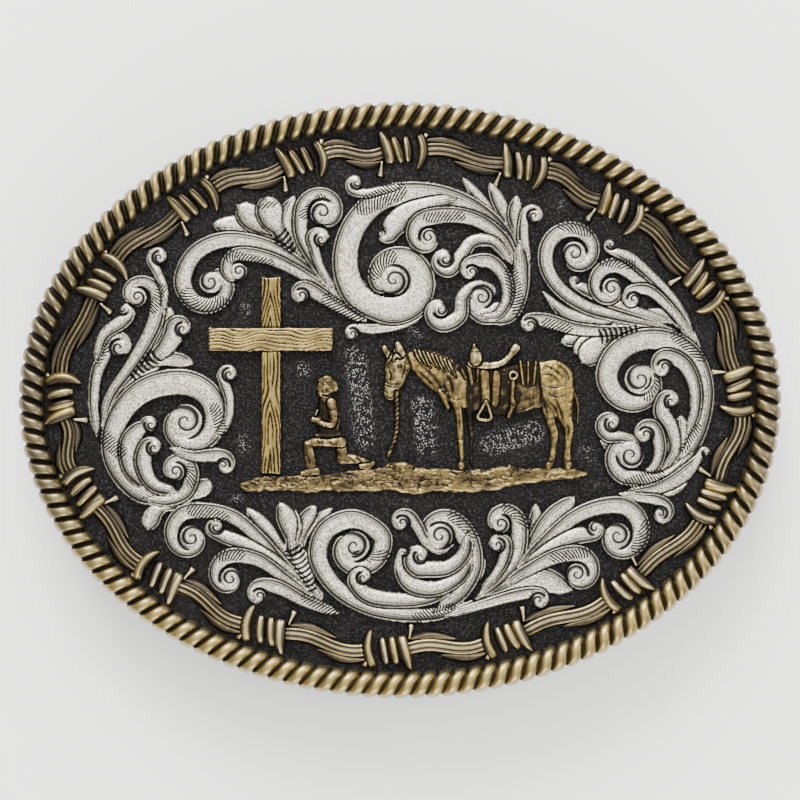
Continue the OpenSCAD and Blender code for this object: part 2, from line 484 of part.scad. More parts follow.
// Rider, kneeling and facing the cross. Limbs as x, y, width.
rider_low = [
    [[-11.2, 0.9, 2.6], [-10.4, -1.5, 3.6], [-9.5, -4.6, 3.9]],           // back and chest
    [[-8.6, -5, 2.6], [-12.1, -5.7, 2.2], [-11.8, -8, 1.6], [-11.6, -9.1, 1.4]],  // front leg
    [[-11.6, -9.2, 0.9], [-13.1, -9.4, 0.8]],                              // front boot
    [[-7.8, -5.4, 2.2], [-7.1, -7.7, 1.8], [-4.2, -8.3, 1.3], [-2.9, -8.6, 0.9]]];   // rear leg
rider_high = [
    [[-10.3, 1.9, 2.1], [-10.2, 2.3, 1.9]],                                // head, bowed
    [[-12.2, 1.9, 0.5], [-10, 3, 1.2], [-8.6, 3.1, 0.6]],                  // hat brim and crown
    [[-9.4, 0, 1.6], [-9.3, -2.2, 1.4], [-11.6, -2.4, 1]]];                // arm and joined hands
module kneeling_figure() color("#b39a5e") {
    raised(figure_h * 0.7) drawn() for (l = rider_low) limb(l);
    raised(figure_h, inset) drawn() for (l = rider_high) limb(l);
}

// Horse, facing the rider, head low, saddled
horse_low = [
    [[20.3, -0.5, 4], [20.4, -4, 1.7], [20.1, -6, 1.2], [20.4, -8.4, 1.2]],   // far hind leg
    [[9.4, -1.5, 2.2], [9.7, -5, 1.1], [9.6, -8.2, 1.1]],                     // far front leg
    [[23.2, 2, 1.1], [24, -0.5, 1], [23.6, -3, 0.5]],                         // tail
    [[-0.2, 0.8, 0.5], [-0.4, -3.7, 0.5], [-1.4, -7.2, 0.5]]];                // lead rope
horse_mid = [
    [[8.3, 1.6, 5.6], [13, 1.3, 6.6], [17.5, 1.9, 6.4], [20.6, 2.4, 5.6]],    // trunk
    [[8.6, 1.4, 5.8], [4.6, 3.8, 5], [1.2, 6.1, 2.8]],                        // neck
    [[0.3, 6.4, 2.6], [-0.5, 3.6, 2.4], [-1.2, 1, 1.6]],                      // head
    [[-0.4, 6.8, 0.9], [-0.4, 7.8, 0.5]],                                     // ear
    [[8, 0, 3.2], [7.9, -4, 1.5], [8, -6.4, 1.1], [8, -8.5, 1.3]],            // near front leg
    [[20.9, 0.5, 4.4], [22, -3.6, 2], [21.9, -6, 1.2], [22.2, -8.55, 1.3]]];   // near hind leg
horse_high = [
    [[10.6, 5.2, 1.4], [13, 4.6, 1.6], [15.2, 5.8, 1.3]],                     // seat, horn to cantle
    [[9.8, 6.9, 0.8], [10.4, 5.2, 0.9]],                                      // horn
    [[12, 3.6, 2.6], [11.8, 0.2, 2], [11, -1.8, 1.7]],                        // fender and stirrup
    [[16.9, 5, 2], [17, 2.4, 1.8]]];                                          // saddle bag
module horse() color("#b39a5e") {
    raised(figure_h * 0.55) drawn() for (l = horse_low) limb(l);
    raised(figure_h * 0.8, inset / 2) drawn() for (l = horse_mid) limb(l);
    raised(figure_h, inset) drawn() for (l = horse_high) limb(l);
}

// What stays behind the plate's back: both fittings are cut to the bend there
module behind_plate() intersection() { children(); bend_cylinder(-gap); }

// Belt loop: one bent wire, a bar on the floor and a leg at each end
wire_r = loop_wire / 2;
leg_y = loop_l / 2 + wire_r;
corner_r = 1.2;                    // inner radius of the wire's two bends
module belt_loop() color("#9a9a98") behind_plate() translate([-loop_x, 0, 0]) {
    bend = corner_r + wire_r;
    translate([0, 0, wire_r]) rotate([90, 0, 0])
        cylinder(r = wire_r, h = 2 * (leg_y - bend), center = true, $fn = 48);
    for (side = [-1, 1]) {
        translate([0, side * leg_y, wire_r + bend]) cylinder(r = wire_r, h = cut_h, $fn = 48);
        translate([0, side * (leg_y - bend), wire_r + bend]) rotate([0, 90, 0]) rotate([0, 0, side > 0 ? 0 : -90])
            rotate_extrude(angle = 90, $fn = 96) translate([bend, 0]) circle(wire_r, $fn = 48);
    }
}

// Hook: a pin that leans away from the loop, round at its tip, on a low foot
foot_r = 3.4;
foot_t = 1.2;
pin_tip = [hook_x, 0, pin_r];
module hook_post() color("#9a9a98") behind_plate() translate(pin_tip) rotate([0, -hook_lean, 0]) {
    sphere(pin_r, $fn = 64);
    cylinder(r = pin_r, h = cut_h / 2, $fn = 64);
    translate([0, 0, foot_at]) cylinder(r = foot_r, h = cut_h / 2, $fn = 64);
}
// Where the foot starts on the pin: its thickness under the plate's back
foot_at = (lift(hook_x, 0) - pin_r) / cos(hook_lean) - foot_t;

plate();
rope_edge();
barbed_wire();
scroll_top();
scroll_right();
scroll_bottom();
scroll_left();
cross();
ground();
kneeling_figure();
horse();
belt_loop();
hook_post();
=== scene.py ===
# %% [markdown]
# An oval western belt buckle, seen from straight in front. It lies on its back, so +Z is the
# way its face looks, +X is to the right and +Y is up in the picture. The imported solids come
# in as a fixed frame; this lesson makes the fine work that replaces most of them: the
# pebbled plate, the twisted rope, the barbed wire, the engraved scrolls and the scene in
# the middle. Blender works in metres, and the tables here are in millimetres.

# %% Load the frame
import bpy
import numpy as np
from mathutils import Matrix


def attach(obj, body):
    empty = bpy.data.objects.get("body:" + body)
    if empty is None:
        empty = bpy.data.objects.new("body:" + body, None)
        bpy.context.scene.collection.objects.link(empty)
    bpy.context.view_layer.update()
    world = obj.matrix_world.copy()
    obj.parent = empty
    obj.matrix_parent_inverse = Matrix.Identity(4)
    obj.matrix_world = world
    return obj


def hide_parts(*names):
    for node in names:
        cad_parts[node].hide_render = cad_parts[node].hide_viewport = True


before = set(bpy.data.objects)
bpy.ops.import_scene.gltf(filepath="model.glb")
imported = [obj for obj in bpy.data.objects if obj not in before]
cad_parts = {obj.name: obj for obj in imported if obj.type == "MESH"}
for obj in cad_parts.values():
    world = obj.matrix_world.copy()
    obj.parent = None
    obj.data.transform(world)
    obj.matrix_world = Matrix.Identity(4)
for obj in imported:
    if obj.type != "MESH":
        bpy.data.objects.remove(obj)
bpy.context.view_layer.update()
MM = 0.001
print("frame nodes:", len(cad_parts))

# %% [markdown]
# The buckle is bent a little from left to right, to sit on a waist. A modifier on each piece
# could bend it, but they might not stay on one curve. So one function gives the height over
# the floor of any place on the face, and every piece below goes through it.

# %% The bend
HALF_W, HALF_H = 50.8, 39.45       # half the width and height over the rope, mm
BEND_R = 420.0                     # radius of the bend at the plate's back
BACK_Z = 10.3                      # the plate's back over the floor, in the middle
PLATE_T = 2.0                      # thickness of the plate
FACE_H = PLATE_T + 0.03            # where the raised work starts, over the plate's back


def lift(x, h):
    """Height over the floor: a circle of radius BEND_R + h about a line under the buckle."""
    return BACK_Z - BEND_R + np.sqrt((BEND_R + h) ** 2 - x * x)


def bent(x, y, h):
    """Places on the bent buckle, from x, y in the picture and the height h over its back."""
    return np.stack([x, y, lift(x, h)], axis=-1)


print("drop of the plate at its ends:", round(float(lift(0.0, 0.0) - lift(HALF_W, 0.0)), 2), "mm")

# %% [markdown]
# A camera straight above stands for the photograph. A long lens far away keeps the rim
# nearly free of perspective. The buckle fills 766 of the picture's 800 pixels.

# %% Camera
LENS, SENSOR = 150.0, 36.0         # mm
FILL = 766 / 800                   # share of the picture's width
RIM_SHARE, RIM_OVER = 0.8, 1.0     # the rim's height is read here: share of the way out, mm up
CLIP_START = 0.01                  # m
rim_z = float(lift(RIM_SHARE * HALF_W, FACE_H + RIM_OVER))
seen_width = 2 * HALF_W / FILL
camera = bpy.data.objects.new("camera", bpy.data.cameras.new("camera"))
camera.data.lens, camera.data.sensor_width = LENS, SENSOR
camera.location = (0.0, 0.0, (rim_z + seen_width * LENS / SENSOR) * MM)
camera.data.clip_start = CLIP_START
bpy.context.collection.objects.link(camera)
bpy.context.scene.camera = camera
print("camera height:", round(camera.location.z, 3), "m")

# %% [markdown]
# Metal shows what it reflects. A wide soft panel high overhead makes every flat raised face
# bright, and the dimmer room round it leaves the slopes grey. Smaller panels stand beyond
# the top, the bottom and the right, as in the photograph. A picture of a studio round the
# scene would do too, but a panel can be moved until its gleam is in place.

# %% Lights and surroundings
# Place in metres, width in metres, power in watts
PANELS = {
    "light_overhead": ((0.0, 0.15, 1.35), 1.2, 12.0),
    "light_top": ((-0.10, 0.60, 0.45), 0.5, 17.0),
    "light_bottom": ((0.06, -0.66, 0.42), 0.45, 7.0),
    "light_right": ((0.66, 0.10, 0.45), 0.4, 3.0),
}
ROOM_COLOUR, ROOM_STRENGTH = (1.0, 0.99, 0.97, 1.0), 0.80


def panel(name, place, size, power):
    """A square soft light at a place in metres, turned to the buckle."""
    light = bpy.data.lights.new(name, "AREA")
    light.shape, light.size, light.energy = "SQUARE", size, power
    ob = bpy.data.objects.new(name, light)
    ob.location = place
    ob.rotation_euler = (-ob.location).to_track_quat("-Z", "Y").to_euler()
    bpy.context.collection.objects.link(ob)


for name, (place, size, power) in PANELS.items():
    panel(name, place, size, power)
world = bpy.data.worlds.new("studio")
world.use_nodes = True
room = world.node_tree.nodes["Background"]
room.inputs["Color"].default_value = ROOM_COLOUR
room.inputs["Strength"].default_value = ROOM_STRENGTH
bpy.context.scene.world = world
print("lights:", len(PANELS))

# %% [markdown]
# Every finish below is a small network of nodes. It could be drawn by hand in the shader
# editor. Here a helper adds one node, sets its values and joins its inputs, so that each
# material reads as a short list. The patterns are laid on Object coordinates, in metres, so
# a scale of 3000 gives marks of a third of a millimetre.

# %% Helpers for finishes
def start_finish(name, **values):
    """A new material with one principled shader; constant values go on its own sockets."""
    mat = bpy.data.materials.new(name)
    mat.use_nodes = True
    shader = mat.node_tree.nodes["Principled BSDF"]
    for key, value in values.items():
        shader.inputs[key.replace("_", " ")].default_value = value
    return mat, mat.node_tree, shader


def feed(shader, **patterns):
    """Joins patterns to the shader's inputs; an underscore stands for a space."""
    for key, pattern in patterns.items():
        shader.id_data.links.new(pattern, shader.inputs[key.replace("_", " ")])


def put(tree, kind, inputs=(), **settings):
    """Adds a node. inputs are (socket, value or output socket) pairs."""
    made = tree.nodes.new(kind)
    for key, value in settings.items():
        setattr(made, key, value)
    for key, value in inputs:
        if isinstance(value, bpy.types.NodeSocket):
            tree.links.new(value, made.inputs[key])
        else:
            made.inputs[key].default_value = value
    return made


def number(tree, name):
    """Reads one of the mesh's own attributes, as a number."""
    return put(tree, "ShaderNodeAttribute", attribute_name=name).outputs["Fac"]


def calc(tree, operation, a, b=0.0):
    """One sum on numbers."""
    return put(tree, "ShaderNodeMath", [(0, a), (1, b)], operation=operation).outputs[0]


def times(tree, a, *others):
    """All the numbers multiplied."""
    for b in others:
        a = calc(tree, "MULTIPLY", a, b)
    return a


def swing(tree, noise, size):
    """A noise from 0 to 1 as a swing about nought: (noise - 0.5) * size."""
    return times(tree, calc(tree, "SUBTRACT", noise, 0.5), size)


def waves_of(tree, run, pitch):
    """Even waves along a run in mm: the cosine of 2 pi * run / pitch."""
    return calc(tree, "COSINE", times(tree, run, 2 * np.pi / pitch))


def band_of(tree, value, low, high, to_low=0.0, to_high=1.0):
    """A soft step: from to_low at low to to_high at high."""
    return put(tree, "ShaderNodeMapRange", [("Value", value), ("From Min", low), ("From Max", high),
               ("To Min", to_low), ("To Max", to_high)], interpolation_type="SMOOTHSTEP").outputs[0]


def blend_of(tree, share, a, b):
    """Colour a where share is 0, colour b where it is 1."""
    return put(tree, "ShaderNodeMix", [(0, share), (6, a), (7, b)], data_type="RGBA").outputs[2]


def grain(tree, scale, detail=2.0, rough=0.5, stretch=None):
    """Soft noise on Object coordinates, 0 to 1, stretched along the axes if asked."""
    at = put(tree, "ShaderNodeTexCoord").outputs["Object"]
    if stretch:
        at = put(tree, "ShaderNodeMapping", [("Vector", at), ("Scale", stretch)]).outputs[0]
    return put(tree, "ShaderNodeTexNoise", [("Vector", at), ("Scale", scale), ("Detail", detail),
               ("Roughness", rough)]).outputs["Fac"]


def roughen(tree, shader, height, depth, strength):
    """Tilts the surface by a height pattern; depth is its size in metres."""
    bump = put(tree, "ShaderNodeBump", [("Height", height), ("Distance", depth),
                                        ("Strength", strength)])
    feed(shader, Normal=bump.outputs[0])


print("helpers ready")

# %% [markdown]
# The floor is a plain pale sheet. It is not part of the buckle, so it is marked as stage.

# %% Floor
FLOOR_HALF = 1.5                   # m
FLOOR_GREY, FLOOR_PALE = (0.90, 0.90, 0.89, 1), (0.93, 0.93, 0.92, 1)
floor_mat, tree, shader = start_finish("floor_finish", Roughness=0.9)
feed(shader, Base_Color=blend_of(tree, grain(tree, 40.0), FLOOR_GREY, FLOOR_PALE))
corners = [(FLOOR_HALF * i, FLOOR_HALF * j, 0) for i, j in ((-1, -1), (1, -1), (1, 1), (-1, 1))]
floor_mesh = bpy.data.meshes.new("floor")
floor_mesh.from_pydata(corners, [], [(0, 1, 2, 3)])
floor = bpy.data.objects.new("floor", floor_mesh)
floor_mesh.materials.append(floor_mat)
bpy.context.collection.objects.link(floor)
print("floor:", 2 * FLOOR_HALF, "m wide")

# %% [markdown]
# Meshes are made from whole arrays, because the fine work has hundreds of thousands of
# places, and adding them one by one would be slow. A patch is a grid of places joined by
# quads; a piece is a list of patches put in one mesh. Numbers that the finishes read, such
# as how dark a groove is, ride along as attributes, one value at each place.

# %% Patches and pieces
ATTRIBUTES = ("dark", "along", "across", "hatch", "fine")


def grid_quads(rows, cols, ring_rows=False, ring_cols=False):
    """Corners of the quads between the rows and columns of a grid; a ring joins its ends."""
    r = np.arange(rows if ring_rows else rows - 1)[:, None]
    c = np.arange(cols if ring_cols else cols - 1)[None, :]
    r2, c2 = (r + 1) % rows, (c + 1) % cols
    corners = [r * cols + c, r * cols + c2, r2 * cols + c2, r2 * cols + c]
    return np.stack(corners, axis=-1).reshape(-1, 4)


def end_fans(rows, cols):
    """Triangles that close the first and the last ring of a grid, each round one of the two
    places that follow the grid's own."""
    j = np.arange(cols)
    k, last = (j + 1) % cols, (rows - 1) * cols
    return np.concatenate([np.stack([np.full(cols, rows * cols), k, j], axis=1),
                           np.stack([np.full(cols, rows * cols + 1), last + j, last + k], axis=1)])


def outward(co, quads, tris):
    """True if a closed patch has its faces outwards: the sum of the small wedges is positive."""
    mid = co.mean(axis=0)
    t = np.concatenate([quads[:, [0, 1, 2]], quads[:, [0, 2, 3]], tris])
    a, b, c = (co[t[:, i]] - mid for i in range(3))
    return np.einsum("ij,ij->i", a, np.cross(b, c)).sum() > 0


def patch(co, quads, tris=None, flat=None, **numbers):
    """One closed patch: places, faces, which faces stay flat, and its attribute numbers."""
    co = np.asarray(co, float).reshape(-1, 3)
    tris = np.zeros((0, 3), int) if tris is None else tris
    if not outward(co, quads, tris):
        quads, tris = quads[:, ::-1], tris[:, ::-1]
    flat = np.zeros(len(quads), bool) if flat is None else flat
    return dict(co=co, quads=quads, tris=tris, flat=flat,
                numbers={k: np.broadcast_to(numbers.get(k, 0.0), len(co)) for k in ATTRIBUTES})


def piece(name, patches, finish, slot, *nodes):
    """Joins the patches in one mesh, in metres, and lets it stand for the CAD nodes."""
    start = np.cumsum([0] + [len(p["co"]) for p in patches])
    co = np.concatenate([p["co"] for p in patches]) * MM
    quads = np.concatenate([p["quads"] + s for p, s in zip(patches, start)])
    tris = np.concatenate([p["tris"] + s for p, s in zip(patches, start)])
    corners = np.concatenate([quads.ravel(), tris.ravel()])
    firsts = np.concatenate([np.arange(len(quads)) * 4, quads.size + np.arange(len(tris)) * 3])
    flat = np.concatenate([p["flat"] for p in patches] + [np.zeros(len(tris), bool)])
    mesh = bpy.data.meshes.new(name)
    mesh.vertices.add(len(co))
    mesh.vertices.foreach_set("co", co.astype(np.float32).ravel())
    mesh.loops.add(len(corners))
    mesh.loops.foreach_set("vertex_index", corners.astype(np.int32))
    mesh.polygons.add(len(firsts))
    mesh.polygons.foreach_set("loop_start", firsts.astype(np.int32))
    mesh.update(calc_edges=True)
    mesh.polygons.foreach_set("use_smooth", ~flat)
    for key in ATTRIBUTES:
        values = np.concatenate([p["numbers"][key] for p in patches]).astype(np.float32)
        mesh.attributes.new(key, "FLOAT", "POINT").data.foreach_set("value", values)
    mesh.validate()
    mesh.materials.append(finish)
    ob = bpy.data.objects.new(name, mesh)
    bpy.context.collection.objects.link(ob)
    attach(ob, "root")
    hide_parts(*nodes)
    print(name, len(patches), "patches,", 2 * len(quads) + len(tris), "triangles")


# %% [markdown]
# Almost everything on the face follows a smooth line. A curve drawn in Blender would need
# two handles at each point. This one simply goes through given points, and its pace
# between two of them grows with the square root of their distance, so it never makes a loop
# of its own.

# %% Smooth lines
RIPPLE_WAVES, RIPPLE_SPAN = 10, 4.5    # waves in a ripple, and what brings their sum to -1 to 1


def smooth_line(points, per=8):
    """A smooth line through the points, with per places to each stretch. Each place blends
    the straight lines through the four nearest points, weighed by the pace."""
    p = np.asarray(points, float)
    p = np.vstack([2 * p[0] - p[1], p, 2 * p[-1] - p[-2]])
    pace = np.maximum(np.linalg.norm(np.diff(p[:, :2], axis=0), axis=1), 1e-9) ** 0.5
    t = np.r_[0.0, np.cumsum(pace)]
    m = len(p) - 3
    a, b, c, d = (p[i:m + i, None] for i in range(4))
    ta, tb, tc, td = (t[i:m + i, None, None] for i in range(4))
    u = tb + (tc - tb) * np.linspace(0, 1, per, endpoint=False)[None, :, None]
    ab = a + (b - a) * (u - ta) / (tb - ta)
    bc = b + (c - b) * (u - tb) / (tc - tb)
    cd = c + (d - c) * (u - tc) / (td - tc)
    abc = ab + (bc - ab) * (u - ta) / (tc - ta)
    bcd = bc + (cd - bc) * (u - tb) / (td - tb)
    line = abc + (bcd - abc) * (u - tb) / (tc - tb)
    return np.vstack([line.reshape(-1, p.shape[1]), p[-2]])


def run_along(line):
    """Distance run from the start of a line to each of its points."""
    return np.r_[0.0, np.cumsum(np.linalg.norm(np.diff(line[:, :2], axis=0), axis=1))]


def soft_step(u):
    """0 below 0, 1 above 1, and an S between them."""
    u = np.clip(u, 0.0, 1.0)
    return u * u * (3 - 2 * u)


def ripple(x, y, seed, size):
    """Even soft noise from -1 to 1: a few waves of about that size in fixed directions."""
    rng = np.random.default_rng(seed)
    total = np.zeros(np.broadcast(x, y).shape)
    for _ in range(RIPPLE_WAVES):
        way, phase = rng.uniform(0, 2 * np.pi, 2)
        pace = 2 * np.pi / (size * rng.uniform(0.6, 1.7))
        total = total + np.sin(pace * (x * np.cos(way) + y * np.sin(way)) + phase)
    return total / RIPPLE_SPAN


# %% [markdown]
# A bar or strand of the wire is a ribbon: a section carried along a line on the face. The
# section is a closed loop, with a low flat bottom and a top of any shape. A curve with a
# bevel carries a section too, but that one can only grow and shrink on the way, and these
# change their ridges. The two ends are closed with small fans.

# %% Ribbons
def ribbon(line, half, side, high, **numbers):
    """A section carried along a line. side and high are arrays of places along the line by
    places round the section: side from -1 to 1 of the half width, high in mm over the face."""
    way = np.gradient(line, axis=0)
    way /= np.maximum(np.linalg.norm(way, axis=1), 1e-9)[:, None]
    out = np.stack([-way[:, 1], way[:, 0]], axis=1)
    at = line[:, None] + out[:, None] * (side * half[:, None])[..., None]
    co = bent(at[..., 0], at[..., 1], FACE_H + high)
    ends = np.stack([co[0].mean(axis=0), co[-1].mean(axis=0)])
    spread = {}
    for key, value in numbers.items():
        value = np.broadcast_to(value, side.shape)
        spread[key] = np.r_[value.ravel(), value[[0, -1]].mean(axis=1)]
    return patch(np.vstack([co.reshape(-1, 3), ends]), grid_quads(*side.shape, ring_cols=True),
                 end_fans(*side.shape), **spread)


print("a line through 3 points has", len(smooth_line([[0, 0], [1, 1], [2, 0]])), "places")

# %% [markdown]
# The scrolls, the cross and the figures are cast in low relief. They could be sculpted, or
# put together from meshes that run into each other, but neither gives the crisp grooves of
# a graver. So such relief is a map here: one height at each place of a fine square grid.

# %% Relief maps
class Relief:
    """Heights over the plate's face on a square grid, in mm, and the numbers that go along."""

    def __init__(self, box, step):
        """An empty map over the box x0, y0, x1, y1; step is the side of its cells."""
        xs, ys = np.arange(box[0], box[2], step), np.arange(box[1], box[3], step)
        self.x, self.y = np.meshgrid(xs, ys)
        self.step, self.shape = step, self.x.shape
        self.edge = np.full(self.shape, -9.0)
        self.high = np.zeros(self.shape)
        self.numbers = {k: np.zeros(self.shape) for k in ATTRIBUTES}

    def window(self, box):
        """The part of the grid inside a box, as a pair of slices."""
        cut = [np.searchsorted(a, (lo, hi)) for a, lo, hi in
               ((self.y[:, 0], box[1], box[3]), (self.x[0], box[0], box[2]))]
        return tuple(slice(*c) for c in cut)

    def around(self, points, margin):
        """The window round some points with a margin."""
        p = np.asarray(points)
        return self.window([p[:, 0].min() - margin, p[:, 1].min() - margin,
                            p[:, 0].max() + margin, p[:, 1].max() + margin])


def line_field(x, y, line, *carried):
    """From each place x, y to the nearest place of a line: how far it is, on which side
    (positive to the left), how far along, and the carried values there. The nearest place
    on each straight bit is found first, then the nearest bit."""
    a, d = line[:-1], np.diff(line, axis=0)
    length2 = np.maximum((d ** 2).sum(axis=1), 1e-12)
    px, py = x.ravel()[:, None].astype(np.float32), y.ravel()[:, None].astype(np.float32)
    a, d, length2 = a.astype(np.float32), d.astype(np.float32), length2.astype(np.float32)
    rx, ry = px - a[:, 0], py - a[:, 1]
    t = np.clip((rx * d[:, 0] + ry * d[:, 1]) / length2, 0, 1)
    away2 = (rx - t * d[:, 0]) ** 2 + (ry - t * d[:, 1]) ** 2
    k = away2.argmin(axis=1)
    i = np.arange(len(k))
    side = np.sign(d[k, 0] * ry[i, k] - d[k, 1] * rx[i, k])
    spot = k + t[i, k]
    steps = np.arange(len(line))
    values = [np.interp(spot, steps, v).reshape(x.shape) for v in (run_along(line), *carried)]
    return np.sqrt(away2[i, k]).reshape(x.shape), side.reshape(x.shape), *values


print("a relief grid of 0.1 mm over 10 mm has", Relief((0, 0, 10, 10), 0.1).x.size, "places")

# %% [markdown]
# Strokes are laid on the map one after another, as an engraver would cut them: each new
# stroke lies over the last and is parted from it by a V-shaped groove. Forms that grow out
# of each other, such as a thigh and a trunk, melt together instead.

# %% Strokes on a map
def lay_over(relief, at, inside, high, depth, line, groove=0.17, **numbers):
    """Lays a stroke over the map. inside is the distance inside its edge. Both it and what
    lies beside it slope down by depth to the shared edge, over the width of the groove, and
    a dark line along that edge fades out at 1.25 * line from it."""
    on = inside > 0
    valley = depth * np.clip(1 - np.abs(inside) / groove, 0, 1) ** 1.3
    under = np.where(relief.edge[at] > 0, relief.high[at] - valley, relief.high[at])
    relief.high[at] = np.where(on, high - valley * (high > 0.4), under)
    ink = np.clip(1.25 - np.abs(inside) / line, 0, 1)
    for key in ATTRIBUTES:
        relief.numbers[key][at] = np.where(on, numbers.get(key, 0.0), relief.numbers[key][at])
    relief.numbers["dark"][at] = np.maximum(relief.numbers["dark"][at], ink)
    relief.edge[at] = np.maximum(relief.edge[at], inside)


def melt_in(relief, at, inside, high, soft, **numbers):
    """Melts a form into the map: the higher of the two heights, with a soft seam."""
    old = np.where(relief.edge[at] > 0, relief.high[at], -1.0)
    new = np.where(inside > 0, high, -1.0)
    near = np.clip(0.5 + 0.5 * (new - old) / soft, 0, 1)
    mixed = old + (new - old) * near + soft * near * (1 - near)
    top = np.where((old > -0.5) & (new > -0.5), mixed, np.maximum(old, new))
    on = (new > old) & (inside > 0)
    relief.high[at] = np.where(np.maximum(relief.edge[at], inside) > 0, top, 0.0)
    for key in ATTRIBUTES:
        if key in numbers:
            relief.numbers[key][at] = np.where(on, numbers[key], relief.numbers[key][at])
    relief.edge[at] = np.maximum(relief.edge[at], inside)


def darken(relief, more, at=np.s_[:, :]):
    """Adds to the dark number, which stays from 0 to 1."""
    relief.numbers["dark"][at] = np.clip(relief.numbers["dark"][at] + more, 0, 1)


def carve(relief, at, cut, ink=0.0):
    """Cuts a groove pattern into the map: cut in mm, ink darkens it."""
    relief.high[at] = relief.high[at] - cut
    darken(relief, ink, at)


print("each place of a map has a height and", len(ATTRIBUTES), "numbers")

# %% [markdown]
# A casting is a closed body. The part of the map inside its outline becomes a shell: the
# top, walls, and a bottom just inside the plate. A Solidify modifier could give a bottom
# and walls, but they would be as fine as the top and their outline as stepped as the grid.
# Here the outer row of places is pulled onto the outline, and the hidden bottom is coarse.

# %% From map to shell
WALL_BASE = -0.06                  # the walls reach a hair into the plate, mm
RIM_DROP = 0.04                    # the outer row of places lies a hair lower, mm
BLOCK = 4                          # cells along a block of the underside


def underside(cells, low):
    """The hidden bottom, coarse where it can be. A block whose 4 by 4 cells are all kept is
    a fan round its middle place; a side that two blocks share is one edge, any other side
    is four, so the fans meet the single cells and the walls place for place."""
    rows, cols = cells.shape[0] // BLOCK, cells.shape[1] // BLOCK
    inner = np.s_[:rows * BLOCK, :cols * BLOCK]
    blocks = cells[inner].reshape(rows, BLOCK, cols, BLOCK).all(axis=(1, 3))
    single = cells.copy()
    single[inner] &= ~np.kron(blocks, np.ones((BLOCK, BLOCK), bool))
    quads = np.stack([low[1:, :-1], low[1:, 1:], low[:-1, 1:], low[:-1, :-1]], axis=-1)[single]
    r, c = np.nonzero(blocks)
    padded = np.pad(blocks, 1)
    fans = []
    # where the next block lies on each side, and the corner that the side starts from
    sides = (((-1, 0), (0, 0)), ((0, 1), (0, BLOCK)), ((1, 0), (BLOCK, BLOCK)), ((0, -1), (BLOCK, 0)))
    for (dr, dc), (r0, c0) in sides:
        shared = padded[r + 1 + dr, c + 1 + dc]
        for parts, those in ((1, shared), (BLOCK, ~shared)):
            row, col = r[those] * BLOCK, c[those] * BLOCK
            middle = low[row + BLOCK // 2, col + BLOCK // 2]
            for k in range(parts):
                # the ring runs along +column, +row, -column, -row in turn
                i, j = (n * BLOCK // parts for n in (k, k + 1))
                a = low[row + r0 + dc * i, col + c0 - dr * i]
                b = low[row + r0 + dc * j, col + c0 - dr * j]
                fans.append(np.stack([b, a, middle], axis=1))
    return quads, np.concatenate(fans)


def shell(relief, least=0.12):
    """The map inside its outline as a closed patch: a top that is nowhere lower than least,
    a bottom just inside the plate, and walls between. Cells with a corner inside are kept,
    and their outer corners slide onto the outline along its slope."""
    inside = relief.edge > 0
    cells = inside[:-1, :-1] | inside[1:, :-1] | inside[:-1, 1:] | inside[1:, 1:]
    used = np.zeros(relief.shape, bool)
    for dy, dx in ((0, 0), (0, 1), (1, 0), (1, 1)):
        used[dy:used.shape[0] - 1 + dy, dx:used.shape[1] - 1 + dx] |= cells
    # a place just outside slides over its distance, but never past a cell's diagonal
    rim = used & ~inside
    gy, gx = np.gradient(relief.edge, relief.step)
    steep = np.maximum(gx ** 2 + gy ** 2, 0.3)
    slide = np.where(rim, np.clip(-relief.edge, 0, 1.4 * relief.step), 0.0)
    x, y = relief.x + slide * gx / steep, relief.y + slide * gy / steep
    # and it takes the mean height and numbers of its inner neighbours
    around = [(dy, dx) for dy in (-1, 0, 1) for dx in (-1, 0, 1)]
    count = np.maximum(sum(1.0 * np.roll(inside, move, (0, 1)) for move in around), 1)

    def spread(values):
        """The mean of the values of the neighbours that lie inside."""
        kept = np.where(inside, values, 0.0)
        return sum(np.roll(kept, move, (0, 1)) for move in around) / count

    high = np.maximum(np.where(rim, spread(relief.high) - RIM_DROP, relief.high), least)
    numbers = {k: np.where(rim, spread(v), v) for k, v in relief.numbers.items()}
    index = np.full(relief.shape, -1)
    index[used] = np.arange(used.sum())
    spots = np.arange(index.size).reshape(index.shape)
    corner, spot_corner = ([g[:-1, :-1], g[:-1, 1:], g[1:, 1:], g[1:, :-1]] for g in (index, spots))
    top = np.stack([c[cells] for c in corner], axis=1)
    bottom, fans = underside(cells, spots)
    # walls stand on every side of a kept cell that has no kept neighbour
    padded = np.pad(cells, 1)
    walls, feet = [], []
    for (dy, dx), (i, j) in (((-1, 0), (0, 1)), ((0, 1), (1, 2)), ((1, 0), (2, 3)), ((0, -1), (3, 0))):
        bare = cells & ~padded[1 + dy:1 + dy + cells.shape[0], 1 + dx:1 + dx + cells.shape[1]]
        walls.append(np.stack([corner[j][bare], corner[i][bare]], axis=1))
        feet.append(np.stack([spot_corner[i][bare], spot_corner[j][bare]], axis=1))
    feet = np.concatenate(feet)
    # the underside has places of its own, without those that its fans leave out
    kept = np.unique(np.concatenate([bottom.ravel(), fans.ravel(), feet.ravel()]))
    low = np.zeros(spots.size, int)
    low[kept] = used.sum() + np.arange(len(kept))
    quads = np.concatenate([top, low[bottom], np.c_[np.concatenate(walls), low[feet]]])
    co = np.concatenate([bent(x[used], y[used], FACE_H + high[used]),
                         bent(x.ravel()[kept], y.ravel()[kept],
                              np.full(len(kept), FACE_H + WALL_BASE))])
    below = {k: np.full(len(kept), 1.0 * (k == "dark")) for k in ATTRIBUTES}
    return patch(co, quads, low[fans], flat=np.arange(len(quads)) >= len(top),
                 **{k: np.r_[v[used], below[k]] for k, v in numbers.items()})


print("the walls reach", -WALL_BASE, "mm into the plate")

